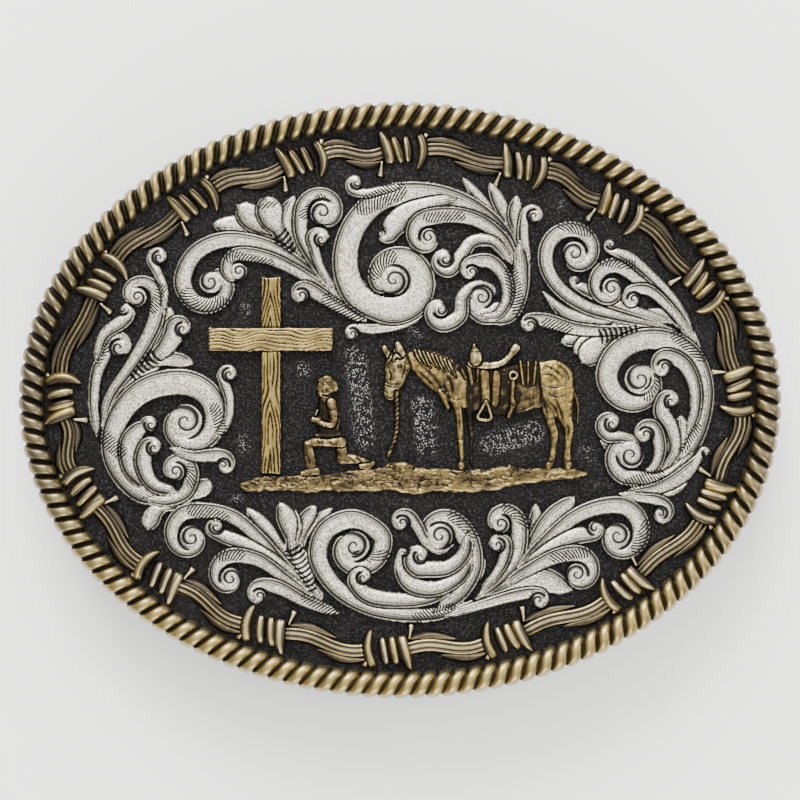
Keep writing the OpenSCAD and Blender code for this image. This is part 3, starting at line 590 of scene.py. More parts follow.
# %% [markdown]
# Old metal is dark where no cloth reaches. A node for ambient occlusion could look for such
# places, but slowly. The map knows them: each is lower than the mean of its surroundings.

# %% Patina
def blurred(a, reach):
    """The mean over a square of the given reach, by running sums along both axes."""
    wide = 2 * reach + 1
    for axis in (0, 1):
        margin = [(reach + 1, reach) if i == axis else (0, 0) for i in (0, 1)]
        sums = np.cumsum(np.pad(a, margin, mode="edge"), axis=axis)
        here = np.arange(a.shape[axis])
        a = (np.take(sums, here + wide, axis=axis) - np.take(sums, here, axis=axis)) / wide
    return a


def settle_patina(relief, reach, strength):
    """Dark patina stays where the map is lower than its surroundings."""
    cover = (relief.edge > 0).astype(float)
    mean = blurred(relief.high * cover, reach) / np.maximum(blurred(cover, reach), 1e-6)
    darken(relief, np.clip((mean - relief.high) * strength, 0, 1) * cover)


print("one place of 9 in a field of nought, blurred:", blurred(np.pad([[9.0]], 3), 1)[3, 3])

# %% [markdown]
# The plate is an oval of blackened metal. Its face was roughened before the ornament went
# on, and in some patches the black is pricked through to bright metal. The surface is a
# function of two parameters, the share of the way out and the direction, and it runs over
# the face, round the edge and back under, so the plate is closed. The slow unevenness is in
# the mesh; the fine grain is left to the finish, where it costs no triangles.

# %% The plate
EDGE_IN = 0.35                     # the plate's edge stays this far inside the rope's crests
PLATE_SIDES, FACE_RINGS, BACK_RINGS = 480, 84, 14
INNERMOST = 0.012                  # the smallest ring's share of the way out
# The rounded edge, from the face to the back: share of the way out, height over the back
PLATE_EDGE = [(0.9995, PLATE_T - 0.05), (1.0, PLATE_T - 0.15), (1.0, 0.3), (0.998, 0.08), (0.994, 0.0)]
PEBBLES, PEBBLE_SIZE = 0.018, 1.9  # the face is uneven by this much, over this distance, mm
# Patches where the black is pricked through: from x, y to x, y, and how far they reach
STIPPLES = [[-13.0, 3.9, -12.9, 4.2, 1.0], [-5.9, 5.9, -4.6, -5.2, 1.35], [3.0, -0.8, 3.6, -5.8, 1.5],
            [12.2, -5.8, 17.6, -4.2, 1.5], [-20.8, -5.3, -20.6, -6.3, 0.8],
            [-20.4, 12.2, -20.6, 11.2, 0.7], [-22, -13, -21.4, -13.2, 0.6],
            [24.6, -6.6, 25.3, -7.4, 0.8], [25.0, -11.2, 26.1, -11.4, 0.5],
            [-0.4, -13.7, 0.8, -13.7, 0.5], [20.7, 26, 21.4, 25.9, 0.6], [1.5, 9.3, 2.6, 8.7, 0.6]]


def plate_surface():
    """Share r outwards and direction a: x = (half width - edge) r cos a, y likewise with
    sin a. The face runs from r = 0 to 1, the edge rounds over, and the back runs to r = 0."""
    a = np.linspace(0, 2 * np.pi, PLATE_SIDES, endpoint=False)
    face = [(r, PLATE_T) for r in np.linspace(INNERMOST, 0.997, FACE_RINGS)]
    back = [(r, 0.0) for r in np.linspace(0.98, INNERMOST, BACK_RINGS)]
    r, h = np.array(face + PLATE_EDGE + back).T
    x = (HALF_W - EDGE_IN) * r[:, None] * np.cos(a)
    y = (HALF_H - EDGE_IN) * r[:, None] * np.sin(a)
    on_face = (np.arange(len(r)) < FACE_RINGS - 2)[:, None]
    uneven = on_face * (PEBBLES * ripple(x, y, 3, PEBBLE_SIZE) - 0.02)
    co = bent(x, y, h[:, None] + uneven)
    poles = np.array([[0, 0, lift(0.0, PLATE_T - 0.02)], [0, 0, lift(0.0, 0.0)]])
    pricked = np.zeros(x.shape)
    for x0, y0, x1, y1, reach in STIPPLES:
        away = line_field(x, y, np.array([[x0, y0], [x1, y1]]))[0]
        patch_of_dots = soft_step((reach - away) / 0.7 + 0.3) * on_face * min(reach / 1.3, 1.0)
        pricked = np.maximum(pricked, patch_of_dots)
    return patch(np.vstack([co.reshape(-1, 3), poles]), grid_quads(*x.shape, ring_cols=True),
                 end_fans(*x.shape), fine=np.r_[pricked.ravel(), 0.0, 0.0])


# %% [markdown]
# The black is not one colour: it is a thin dull skin over brown metal, a little worn on top
# of each grain. Two noises give the grain; cells of a third pattern give the pricked dots,
# because thousands of modelled dots would weigh far more than they show.

# %% Blackened plate
PLATE_SKIN, PLATE_GRAIN = (0.0020, 0.0019, 0.0020, 1), (0.036, 0.0345, 0.0325, 1)
PLATE_BROWN, PLATE_DOT = (0.014, 0.012, 0.010, 1), (0.37, 0.36, 0.325, 1)
plate_black, tree, shader = start_finish("antique_plate", Metallic=0.85)
grains = grain(tree, 3300.0, 4.0, 0.66)
drift = grain(tree, 120.0, 3.0, 0.6)
dots = put(tree, "ShaderNodeTexVoronoi", [("Vector", put(tree, "ShaderNodeTexCoord").outputs["Object"]),
           ("Scale", 3900.0)], feature="F1").outputs["Distance"]
sparse = band_of(tree, grain(tree, 1500.0, 1.0), 0.38, 0.50)
prick = times(tree, band_of(tree, dots, 0.42, 0.24), sparse, number(tree, "fine"))
skin = blend_of(tree, band_of(tree, grains, 0.46, 0.74), PLATE_SKIN, PLATE_GRAIN)
skin = blend_of(tree, band_of(tree, drift, 0.45, 0.85, 0.0, 0.5), skin, PLATE_BROWN)
feed(shader, Base_Color=blend_of(tree, prick, skin, PLATE_DOT),
     Roughness=band_of(tree, grains, 0.3, 0.8, 0.55, 0.36))
roughen(tree, shader, calc(tree, "ADD", grains, times(tree, prick, 0.5)), 0.00012, 0.8)
piece("pebbled_plate", [plate_surface()], plate_black, "antique_plate", "plate")

# %% [markdown]
# Round the edge lies a rope, cast as a half-round bead with slanting lobes. It is one
# surface of two parameters: the run along the rim, and the angle over the bead. Each place
# belongs to a lobe by its run, moved along by the lean of the lobes, and the bead sinks
# between two lobes. Real strands could be wound round each other, but of a cast rope only
# their tops are there.

# %% The rope edge
ROPE_LOBES, ROPE_W, ROPE_H = 132, 3.5, 2.2
ROPE_LEAN, SIDE_LEAN = 29.0, 8.0   # degrees; the lobes lean that much less at the sides
LOBE_STEPS, OVER_STEPS = 16, 17    # places along a lobe and over the bead
rim_a, rim_b = HALF_W - ROPE_W / 2, HALF_H - ROPE_W / 2


def rope_surface():
    """Run s along the rim and angle a over the bead, 0 outside to 180 degrees inside:
    outwards = half width * cos a, up = height * sin a, both shrunk between the lobes."""
    t = np.linspace(0, 2 * np.pi, 7201)
    run = run_along(np.c_[rim_a * np.cos(t), rim_b * np.sin(t)])
    count = ROPE_LOBES * LOBE_STEPS
    s = (np.arange(count) * run[-1] / count)[:, None]
    a = np.linspace(0, np.pi, OVER_STEPS)[None, :]
    t0 = np.interp(s, run, t)
    rightness, upness, sides = np.cos(t0), np.sin(t0), np.cos(t0) ** 2
    # where the place lies in its lobe, from -1 to 1, after the lean
    lean = -ROPE_W / 2 * np.cos(a) * np.tan(np.radians(ROPE_LEAN - SIDE_LEAN * sides))
    pitch = run[-1] / ROPE_LOBES
    q = 2 * (((s - lean) / pitch) % 1.0) - 1
    # the lobes are fuller below and at the right
    fill = 0.78 + 0.06 * sides + 0.02 * rightness - 0.08 * upness
    lobe = (1 - np.abs(q / fill) ** 3.2).clip(0) ** 0.5
    ox, oy = rim_b * np.cos(t0), rim_a * np.sin(t0)
    size = np.hypot(ox, oy)
    across = ROPE_W / 2 * np.sign(np.cos(a)) * np.abs(np.cos(a)) ** 0.85 * (0.74 + 0.26 * lobe)
    up = ROPE_H * np.sin(a) ** 0.8 * (0.52 + 0.48 * lobe)
    foot = np.where(np.sin(a) < 1e-6, -0.05, 0.0)
    x, y = rim_a * np.cos(t0) + ox / size * across, rim_b * np.sin(t0) + oy / size * across
    # painted shade: the rope is darker at its left and right sides, less so on the right; it is also a
    # little darker at the top, and dark between the lobes where the old skin stays
    dark = (1 - lobe) ** (1.3 + 0.9 * sides) + (0.50 - 0.03 * rightness) * sides + 0.08 * upness - 0.06
    return patch(bent(x, y, FACE_H + up + foot), grid_quads(*up.shape, ring_rows=True, ring_cols=True),
                 dark=dark.clip(0, 1).ravel(), across=np.broadcast_to(np.cos(a), up.shape).ravel(),
                 along=q.ravel())


print("a lobe is", round(2 * np.pi * np.hypot(rim_a, rim_b) / 2 ** 0.5 / ROPE_LOBES, 2), "mm long")

# %% [markdown]
# The rope and the wire are brass with an old brown skin. Polishing has cut through it on the
# crests, where the metal is pale gold, and left it in the grooves. The mesh carries a number
# that tells how far a place is from a crest, so the finish needn't guess it; painted shade is
# added to that number in places, and the pale rubbed colour doubles as painted highlight.

# %% Aged brass
ROPE_TONES = dict(crest=(0.300, 0.232, 0.082, 1), body=(0.118, 0.096, 0.060, 1),
                  rubbed_highlight=(0.37, 0.32, 0.185, 1), black=(0.0215, 0.0180, 0.0140, 1),
                  worn_at=0.34, black_at=(0.48, 0.80), rough=(0.34, 0.55))
ROPE_END = (0.36, 0.302, 0.160, 1)     # the lobes' pale ends: rubbed metal and painted highlight


def brass(name, crest, body, rubbed_highlight, black, worn_at, black_at, rough):
    """Brass whose crest colour gives way to the body's and then to black as the dark
    number grows; worn_at is where the body's colour has taken over. The fine number is how
    far the crest turns a pale white gold: rubbed metal, and painted highlight too."""
    mat, tree, shader = start_finish(name, Metallic=1.0)
    fine = grain(tree, 3600.0, 3.0, 0.65)
    broad = grain(tree, 330.0, 3.0, 0.6)
    dark = calc(tree, "ADD", number(tree, "dark"), swing(tree, fine, 0.35))
    dark = calc(tree, "ADD", dark, swing(tree, broad, 0.30))
    colour = blend_of(tree, band_of(tree, dark, worn_at - 0.22, worn_at + 0.18), crest, body)
    colour = blend_of(tree, band_of(tree, fine, 0.35, 0.8, 0.0, 0.3), colour, body)
    bare = times(tree, number(tree, "fine"), band_of(tree, dark, worn_at + 0.15, worn_at - 0.20))
    colour = blend_of(tree, bare, colour, rubbed_highlight)
    ink = band_of(tree, dark, *black_at)
    feed(shader, Base_Color=blend_of(tree, ink, colour, black),
         Roughness=band_of(tree, calc(tree, "ADD", fine, ink), 0.2, 1.3, *rough))
    roughen(tree, shader, calc(tree, "ADD", fine, times(tree, broad, 0.6)), 0.00005, 0.5)
    return mat, tree, shader


rope_brass, tree, shader = brass("aged_brass_rope", **ROPE_TONES)
skin = shader.inputs["Base Color"].links[0].from_socket
# the lobes' ends turn pale towards both edges of the bead: rubbed metal and painted highlight
uneven_across = calc(tree, "ADD", number(tree, "across"), swing(tree, grain(tree, 900.0), 0.5))
off_middle = calc(tree, "ABSOLUTE", uneven_across)
ends = times(tree, band_of(tree, off_middle, 0.42, 0.80, 0.0, 0.85),
             band_of(tree, number(tree, "dark"), 0.55, 0.15))
feed(shader, Base_Color=blend_of(tree, ends, skin, ROPE_END))
piece("twisted_rope", [rope_surface()], rope_brass, "aged_brass", "rope_edge")

# %% [markdown]
# Inside the rope runs barbed wire. Each knot is four short bars wound across the wire; the
# two outer ones are thick, and each thins to a cut point at one end. Between the knots the
# wire is a wavy bundle of strands with a loose strand on each side. All are ribbons.

# %% The barbed wire
WIRE_A, WIRE_B = 45.0, 33.0        # half the width and height of the wire's ring
WIRE_H, KNOT_H = 0.9, 1.5          # heights over the face
KNOTS = [106.8, 89.6, 68.8, 49.9, 27.1, 2.1, -23.5, -48.3, -71.7, -91.9, -113.2, -134.8, -158.4,
         -180.0, -208.7, -232.6]   # directions round the face, degrees


def wire_speed(t):
    """How far one degree of direction is along the wire, mm."""
    t = np.radians(t)
    return np.hypot(WIRE_A * np.sin(t), WIRE_B * np.cos(t)) * np.pi / 180


def by_wire(t0, s, out):
    """The place at the run s clockwise from direction t0 and at the distance out."""
    t = np.radians(t0 - s / wire_speed(t0 - s / wire_speed(t0) / 2))
    ox, oy = WIRE_B * np.cos(t), WIRE_A * np.sin(t)
    size = np.hypot(ox, oy)
    return np.stack([WIRE_A * np.cos(t) + ox / size * out,
                     WIRE_B * np.sin(t) + oy / size * out], axis=-1)


def strand_section(height, places, ridges=1.0, drift=0.0):
    """A closed section at each height: side runs from -1 to 1 over the top, and the bottom
    is one line. The top is a flat arch cut by ridges that drift across as the line runs on."""
    v = np.linspace(-1, 1, places)[None, :]
    u = np.linspace(0, 1, len(height))[:, None]
    arch = (1 - np.abs(v) ** 3.2).clip(0) ** 0.55
    wave = np.abs(np.sin(np.pi * (ridges * (v + 1) / 2 + drift * u))) ** 0.62
    high = height[:, None] * arch * (0.70 + 0.30 * wave)
    high[:, [0, -1]] = WALL_BASE
    dark = 1.35 * (1 - wave) ** 0.60 + 0.5 * (1 - arch) ** 1.5
    return np.broadcast_to(v, high.shape), high, np.clip(dark, 0, 1)


print("knots:", len(KNOTS), "round a ring of", 2 * WIRE_A, "by", 2 * WIRE_B, "mm")

# %% [markdown]
# A knot is the end of a short wire wound round the long one. Seen from the front it is a row
# of bars, and the barbs are its two cut ends. A helix would make it too, but most of it
# would be inside the plate. The sizes of each knot vary by small random draws.

# %% Knots and barbs
# Bars of a knot: run, lean in degrees, length, width, bow, and how far out its middle is
KNOT_BARS = [[-2.3, -15, 4.5, 1.60, 0.15, 0.45], [-0.72, -16, 3.6, 1.28, 0.10, 0.10],
             [0.72, -12, 3.5, 1.22, 0.10, 0.20], [2.15, -3, 4.8, 1.42, 0.75, -0.15]]
BAR_STEPS, BAR_PLACES = 13, 17     # places along a bar and over it
BARB_STEPS, BARB_PLACES = 6, 9


def knot_patches(t0, rng):
    """Four bars over the wire; each bar's line bows sideways, and its width eases off. The
    two outer bars are thick, and each thins to a cut point at one end."""
    upness, rightness = np.sin(np.radians(t0)), np.cos(np.radians(t0))
    q = np.linspace(-1, 1, BAR_STEPS)
    made = []
    for place, (s, lean, long, wide, bow, middle) in enumerate(KNOT_BARS):
        slip = rng.uniform(-0.12, 0.12)
        reach = np.minimum(middle + q * long / 2, 2.25 + 0.5 * abs(upness))
        slant = np.sin(np.radians(lean + rng.uniform(-5, 5)))
        line = by_wire(t0, s + slip + q * long / 2 * slant + bow * (1 - q * q), reach)
        if place in (0, 3):
            point = -q if place else q
            ends = 1 - 0.60 * np.clip(point, 0, 1) ** 1.6 - 0.25 * np.abs(q) ** 6
            top = KNOT_H
        else:
            ends = 1 - 0.45 * np.abs(q) ** 3
            top = KNOT_H - 0.15
        v, high, _ = strand_section(top * (1 - 0.38 * np.abs(q) ** 2.4), BAR_PLACES)
        high = high - 0.12 * np.exp(-((v - 0.1) / 0.3) ** 2) * (np.abs(v) < 0.95)
        # a dark streak along the bar, on one side of its middle, is painted shade; the edges are dark
        # too, and the bar darkens towards its outer end and on the knots above
        depth, off = rng.uniform(0.30, 0.75), rng.choice([-0.5, 0.55])
        side_shade = depth * np.exp(-(np.abs(v - off) / 0.5) ** 4)
        side_shade = side_shade * np.clip(1.15 - np.abs(q[:, None] + 0.1) ** 3, 0, 1)
        edges = soft_step((np.abs(v) - 0.93) / 0.07)
        dark = side_shade + 0.05 + 0.10 * upness + 0.9 * edges + 0.20 * np.clip(q, 0, 1)[:, None] ** 2
        half = wide / 2 * ends * (1.12 + 0.12 * rightness ** 2)
        made.append(ribbon(line, half, v, high, dark=dark.clip(0, 1), fine=rng.uniform(0.0, 0.5)))
    return made


def barb_patch(t0, side):
    """A cut point beside a knot: a short flat fan that widens to its sheared end."""
    q = np.linspace(0, 1, BARB_STEPS)
    long = 1.9 if side < 0 else 0.9
    line = by_wire(t0, side * (2.75 + 0.35 * q), side * (1.45 + long * q))
    v, high, dark = strand_section(0.95 - 0.35 * q, BARB_PLACES)
    return ribbon(line, 0.30 + 0.42 * q ** 2.0, v, high, dark=np.clip(dark - 0.1, 0, 1), fine=0.5)


print("bars in a knot:", len(KNOT_BARS))

# %% [markdown]
# Between two knots the wire is a flat bundle. Its strands twist slowly, so their ridges
# drift across it: three ridges on one ribbon show that as well as three separate wires,
# which would run into each other. A loose strand lies beside it, now outside, now inside.

# %% Strands between the knots
KNOT_COVER = 2.2                   # the bundle starts this far from a knot's middle, mm
SPAN_STEPS, BUNDLE_PLACES, LOOSE_PLACES = 30, 19, 11


def span_patches(t0, t1, rng):
    """The bundle between two knots and its loose strands, all on one slow wave. Painted shade
    darkens the bundle where it comes out of a knot, and a loose strand on the side of the bundle."""
    start, end = t0 - KNOT_COVER / wire_speed(t0), t1 + KNOT_COVER / wire_speed(t1)
    # darker above, and a little darker on the left than on the right
    upper = 0.08 * np.sin(np.radians(t0)) - 0.03 * np.cos(np.radians(t0)) + 0.04
    sway = 0.45 + rng.uniform(-0.08, 0.1)
    # distance outwards, half width, start and end as shares, height, ridges, drift
    strands = ((0.0, 1.02, 0.0, 1.0, WIRE_H, 3.0, rng.uniform(-0.5, 0.7)),
               (1.25, 0.68, 0.04, 0.60, 0.62, 1.0, 0.3),
               (-1.25, 0.68, 0.40, 0.96, 0.62, 1.0, -0.3))
    q = np.linspace(0, 1, SPAN_STEPS)
    made = []
    for out, half, a, b, high, ridges, drift in strands:
        share = np.linspace(a, b, SPAN_STEPS)
        line = by_wire(start + (end - start) * share, 0.0, out + sway * np.sin(2 * np.pi * share))
        if out:
            swell = np.sin(np.pi * (0.04 + 0.92 * q)) ** 0.8
            places = LOOSE_PLACES
        else:
            swell = np.ones(SPAN_STEPS)
            places = BUNDLE_PLACES
        v, top, dark = strand_section(high * (0.85 + 0.15 * swell), places, ridges, drift)
        # painted shade: a loose strand is darker on its side towards the bundle, and the bundle near
        # the knots
        if out:
            shade = 0.30 * soft_step(0.55 - v * np.sign(out))
        else:
            shade = 0.45 * np.clip(1 - np.minimum(q, 1 - q) / 0.10, 0, 1)[:, None]
        made.append(ribbon(line, half * np.maximum(swell, 0.05), v, top,
                           dark=np.clip(dark + shade + upper, 0, 1), fine=rng.uniform(0.0, 0.25)))
    return made


print("a span covers the way between two knots, less", 2 * KNOT_COVER, "mm")

# %% [markdown]
# The whole ring is one piece, knot after knot and span after span, clockwise. Its brass is
# darker than the rope's, and black between the strands.

# %% The ring of wire
WIRE_TONES = dict(crest=(0.35, 0.270, 0.100, 1), body=(0.055, 0.0445, 0.0290, 1),
                  rubbed_highlight=(0.44, 0.40, 0.28, 1), black=(0.012, 0.0100, 0.0082, 1),
                  worn_at=0.22, black_at=(0.66, 0.98), rough=(0.34, 0.55))
rng = np.random.default_rng(11)
wire_patches = []
for t0, t1 in zip(KNOTS, KNOTS[1:] + [KNOTS[0] - 360]):
    wire_patches += knot_patches(t0, rng) + [barb_patch(t0, side) for side in (-1, 1)]
    wire_patches += span_patches(t0, t1, rng)
wire_brass = brass("aged_brass_wire", **WIRE_TONES)[0]
piece("barbed_wire_ring", wire_patches, wire_brass, "aged_brass", "barbed_wire")

# %% [markdown]
# Western scrollwork grows like a plant: a stem leaves its root, swells, and winds round a
# small round eye. Each row below is one such curl: where its eye is, the
# route from its root, and how wide it is. Each leaf is a lens between its root and its tip.
# They could be drawn as curve objects; a table is easier to read, to compare and to mend.
# The top group has its large coil in the middle, and a fan of leaves on each side of it.

# %% The top group's table
# Curls: eye_x, eye_y, eye radius, distance and direction (degrees) where the winding starts,
# sweep in degrees (positive to the left), how early it closes, widths at root, body and
# neck, where it is widest, and the route from the root
TOP_CURLS = [
    [-25.1, 15.6, 1.5, 3.75, 175, 255, 0.5, 0.5, 2.6, 1.2, 0.7,
     [[-7.5, 12.8], [-12, 17], [-17.5, 20.4], [-23.5, 21.2], [-27.3, 19.3]]],
    [-21.3, 17.0, 1.15, 2.3, 95, 150, 0.5, 0.4, 2.1, 1.0, 0.7,
     [[-8, 13.2], [-12.5, 16.4], [-17.5, 18.8]]],
    [-10.3, 24.8, 1.65, 2.75, 160, -240, 0.5, 0.5, 2.1, 1.2, 0.5,
     [[-8.3, 13.8], [-10.9, 17.6], [-13, 21.5], [-13.2, 24]]],
    [-10.4, 21.2, 0.8, 1.35, 165, -170, 0.6, 0.4, 1.6, 0.6, 0.7,
     [[-8.6, 14.4], [-10.5, 17.5], [-11.4, 20.3]]],
    [-13.0, 13.8, 0.85, 1.15, 75, 190, 0.6, 0.4, 2.1, 0.7, 0.7,
     [[-4.5, 10.4], [-8.3, 12.4], [-11.3, 14.3]]],
    [-6.3, 8.7, 0.7, 0.9, 80, 170, 0.6, 0.3, 1.5, 0.7, 0.6,
     [[3.2, 11.4], [0.5, 10], [-3.5, 9.4]]],
    [-0.8, 15.8, 1.9, 4.15, 240, 350, 0.42, 0.5, 4.0, 0.8, 0.77,
     [[16.2, 16], [15.2, 19.3], [12.3, 23.4], [8, 26.2], [3, 27.4], [-2.5, 26.6], [-6.2, 22.8],
      [-7.3, 18], [-5.9, 14]]],
    [-5.7, 28.65, 0.7, 1.1, 235, -190, 0.6, 0.4, 1.6, 0.8, 0.7,
     [[0.5, 28.3], [-2.5, 27.7], [-4.6, 27.3]]],
    [-2.5, 22.0, 0.45, 1.2, 340, -90, 0.8, 0.8, 3.3, 1.0, 0.72,
     [[7.5, 26.5], [3.5, 25.6], [0.6, 24.4], [-0.8, 22.9]]],
    [3.8, 21.55, 1.15, 2.45, 110, 225, 0.6, 0.5, 2.5, 1.0, 0.66,
     [[15.6, 17.5], [13.6, 21.4], [10, 23.9], [6, 24.5]]],
    [6.0, 18.6, 0.9, 1.6, 290, -240, 0.6, 0.5, 2.2, 0.9, 0.6,
     [[14.8, 18], [12.3, 20.9], [9.6, 20.9], [8.1, 19]]],
    [17.75, 24.3, 0.8, 1.4, 190, -250, 0.7, 0.5, 1.7, 0.8, 0.6,
     [[15.2, 11.5], [16.6, 14.5], [16.6, 18.5], [16.25, 21.8]]],
    [10.8, 13.6, 1.4, 2.7, 305, -150, 0.7, 0.8, 3.2, 1.1, 0.62,
     [[15.8, 21], [16.1, 17.5], [15.6, 14], [14.2, 11.6]]],
    [5.4, 11.9, 0.9, 2.1, 300, -230, 0.6, 0.5, 2.3, 1.1, 0.6,
     [[12.2, 13], [11.9, 14.6], [10, 15], [8.3, 13.6], [8.0, 11.2]]],
    [9.5, 16.95, 0.75, 1.5, 80, 200, 0.7, 0.5, 2.1, 0.8, 0.66,
     [[10.2, 11.2], [12.8, 11.2], [14.2, 13.4], [13.9, 16.2], [12, 18.3]]],
]
# Leaves: root x, y, middle x, y, tip x, y, width, how blunt
TOP_LEAVES = [
    [-13.6, 19.2, -14.9, 20.6, -16.3, 22.3, 2.7, 0.9],
    [-14.6, 21.2, -20.2, 22.8, -24.9, 23.2, 3.0, 0.7],
    [-15.4, 21.3, -18.9, 23.5, -21.5, 25.8, 3.5, 0.85],
    [-14.0, 20.0, -15.3, 23.8, -13.9, 27.1, 2.2, 0.35],
    [-15.5, 21.2, -17.1, 24.0, -17.5, 27.0, 3.7, 0.85],
    [15.4, 20.4, 11.4, 25.4, 8.2, 29.5, 1.8, 0.6],
    [15.5, 20.6, 13.6, 25.0, 11.8, 28.8, 2.1, 0.6],
    [15.9, 20.6, 15.1, 24.1, 15.5, 27.1, 2.0, 0.7],
]
print("top:", len(TOP_CURLS), "curls,", len(TOP_LEAVES), "leaves")

# %% [markdown]
# The right group is an upper spray that runs to the left, and a large coil below it.

# %% The right group's table
RIGHT_CURLS = [
    [23.05, 19.4, 1.57, 3.75, 170, -300, 0.65, 0.5, 2.3, 1.2, 0.66,
     [[36.5, 9.2], [33.5, 10.1], [29.5, 10.9], [24.8, 12.2], [21.2, 14.6], [19.4, 17.4]]],
    [23.2, 16.0, 0.5, 0.7, 260, -120, 0.7, 0.6, 1.8, 0.9, 0.8,
     [[36, 10.2], [31.5, 11.7], [27.5, 13.1], [24.8, 14.5]]],
    [28.05, 14.8, 1.35, 3.1, 75, 255, 0.75, 0.4, 2.2, 1.0, 0.62,
     [[40.2, 5], [38.4, 8.8], [35.3, 12.9], [31.8, 16]]],
    [27.95, 20.6, 0.55, 0.75, 250, -190, 0.7, 0.4, 1.8, 0.8, 0.7,
     [[38.8, 9.2], [36.3, 13.2], [33, 16.6], [30.2, 18.9]]],
    [30.95, 13.35, 0.8, 1.35, 85, 230, 0.7, 0.4, 1.7, 0.8, 0.66,
     [[39.3, 7.5], [37.3, 10.4], [34.8, 13.2], [32.9, 14.6]]],
    [17.2, 9.9, 0.85, 1.0, 75, 200, 0.7, 0.5, 2.1, 0.7, 0.72,
     [[32, 9.5], [27, 9.2], [23, 9.5], [19.9, 10.4]]],
    [31.75, 2.75, 2.05, 4.45, 175, 245, 1.0, 0.6, 3.2, 0.7, 0.66,
     [[35, -9.8], [38.6, -6.5], [40.3, -2], [40.4, 2.5], [38.6, 6.2], [35.3, 8], [31.2, 7.8],
      [28.4, 5.9]]],
    [35.05, 4.35, 0.88, 1.6, 70, 230, 0.7, 0.5, 2.3, 0.8, 0.7,
     [[38, -5], [39.2, -1.5], [39.1, 2], [37.6, 4.9]]],
    [35.9, -0.2, 0.75, 1.25, 185, -220, 0.6, 0.5, 2.4, 0.9, 0.6,
     [[34.6, -9.3], [36.3, -6.5], [35.8, -3.6], [34.6, -1.6]]],
    [32.55, -4.6, 0.9, 1.45, 40, 240, 0.8, 0.5, 2.1, 0.8, 0.6,
     [[31.8, -10.6], [33.8, -8.9], [34.5, -6.4]]],
    [30.55, -7.3, 1.77, 3.2, 285, -235, 0.7, 0.5, 2.4, 0.9, 0.6,
     [[38.8, -7], [36.8, -9.2], [34.2, -10.6]]],
    [28.05, -3.2, 0.85, 1.5, 235, -240, 0.7, 0.4, 2.1, 0.8, 0.6,
     [[31.5, -5.4], [29.3, -4.9], [27.6, -4.8]]],
    [40.6, -7.1, 0.35, 0.75, 130, -120, 0.6, 0.4, 2.2, 0.6, 0.6,
     [[29.5, -12.4], [34, -11.7], [37.5, -9.9], [39.6, -7.6]]],
    [34.5, -15.0, 0.8, 1.35, 60, -250, 0.8, 0.4, 1.8, 0.7, 0.6,
     [[29, -12.4], [31.8, -12.9], [34, -13.2]]],
]
RIGHT_LEAVES = [
    [38.5, 8.2, 35.5, 11.3, 32.3, 12, 1.3, 0.2],
    [33, 9.9, 22.6, 11.0, 18.7, 14.5, 2.3, 0.1],
    [33.5, 9.6, 29.8, 9.3, 26.2, 8.0, 2.8, 0.9],
    [28.4, 9.0, 24.7, 8.5, 21.2, 7.6, 2.5, 0.6],
    [28.6, 8.8, 25.4, 7.9, 23.0, 6.2, 2.6, 0.8],
    [28.8, 8.9, 26.4, 7.2, 24.0, 4.9, 3.6, 0.9],
    [35.6, -8.2, 37.1, -5, 37.3, -2.0, 2.7, 0.4],
    [31.0, -6.0, 28.4, -6.3, 26.4, -5.0, 1.8, 0.3],
    [32, -12.0, 35.8, -12.1, 38.3, -10.9, 1.5, 0.3],
]
print("right:", len(RIGHT_CURLS), "curls,", len(RIGHT_LEAVES), "leaves")

# %% [markdown]
# The bottom group has two coils in the middle, and a spray that runs out to each side.

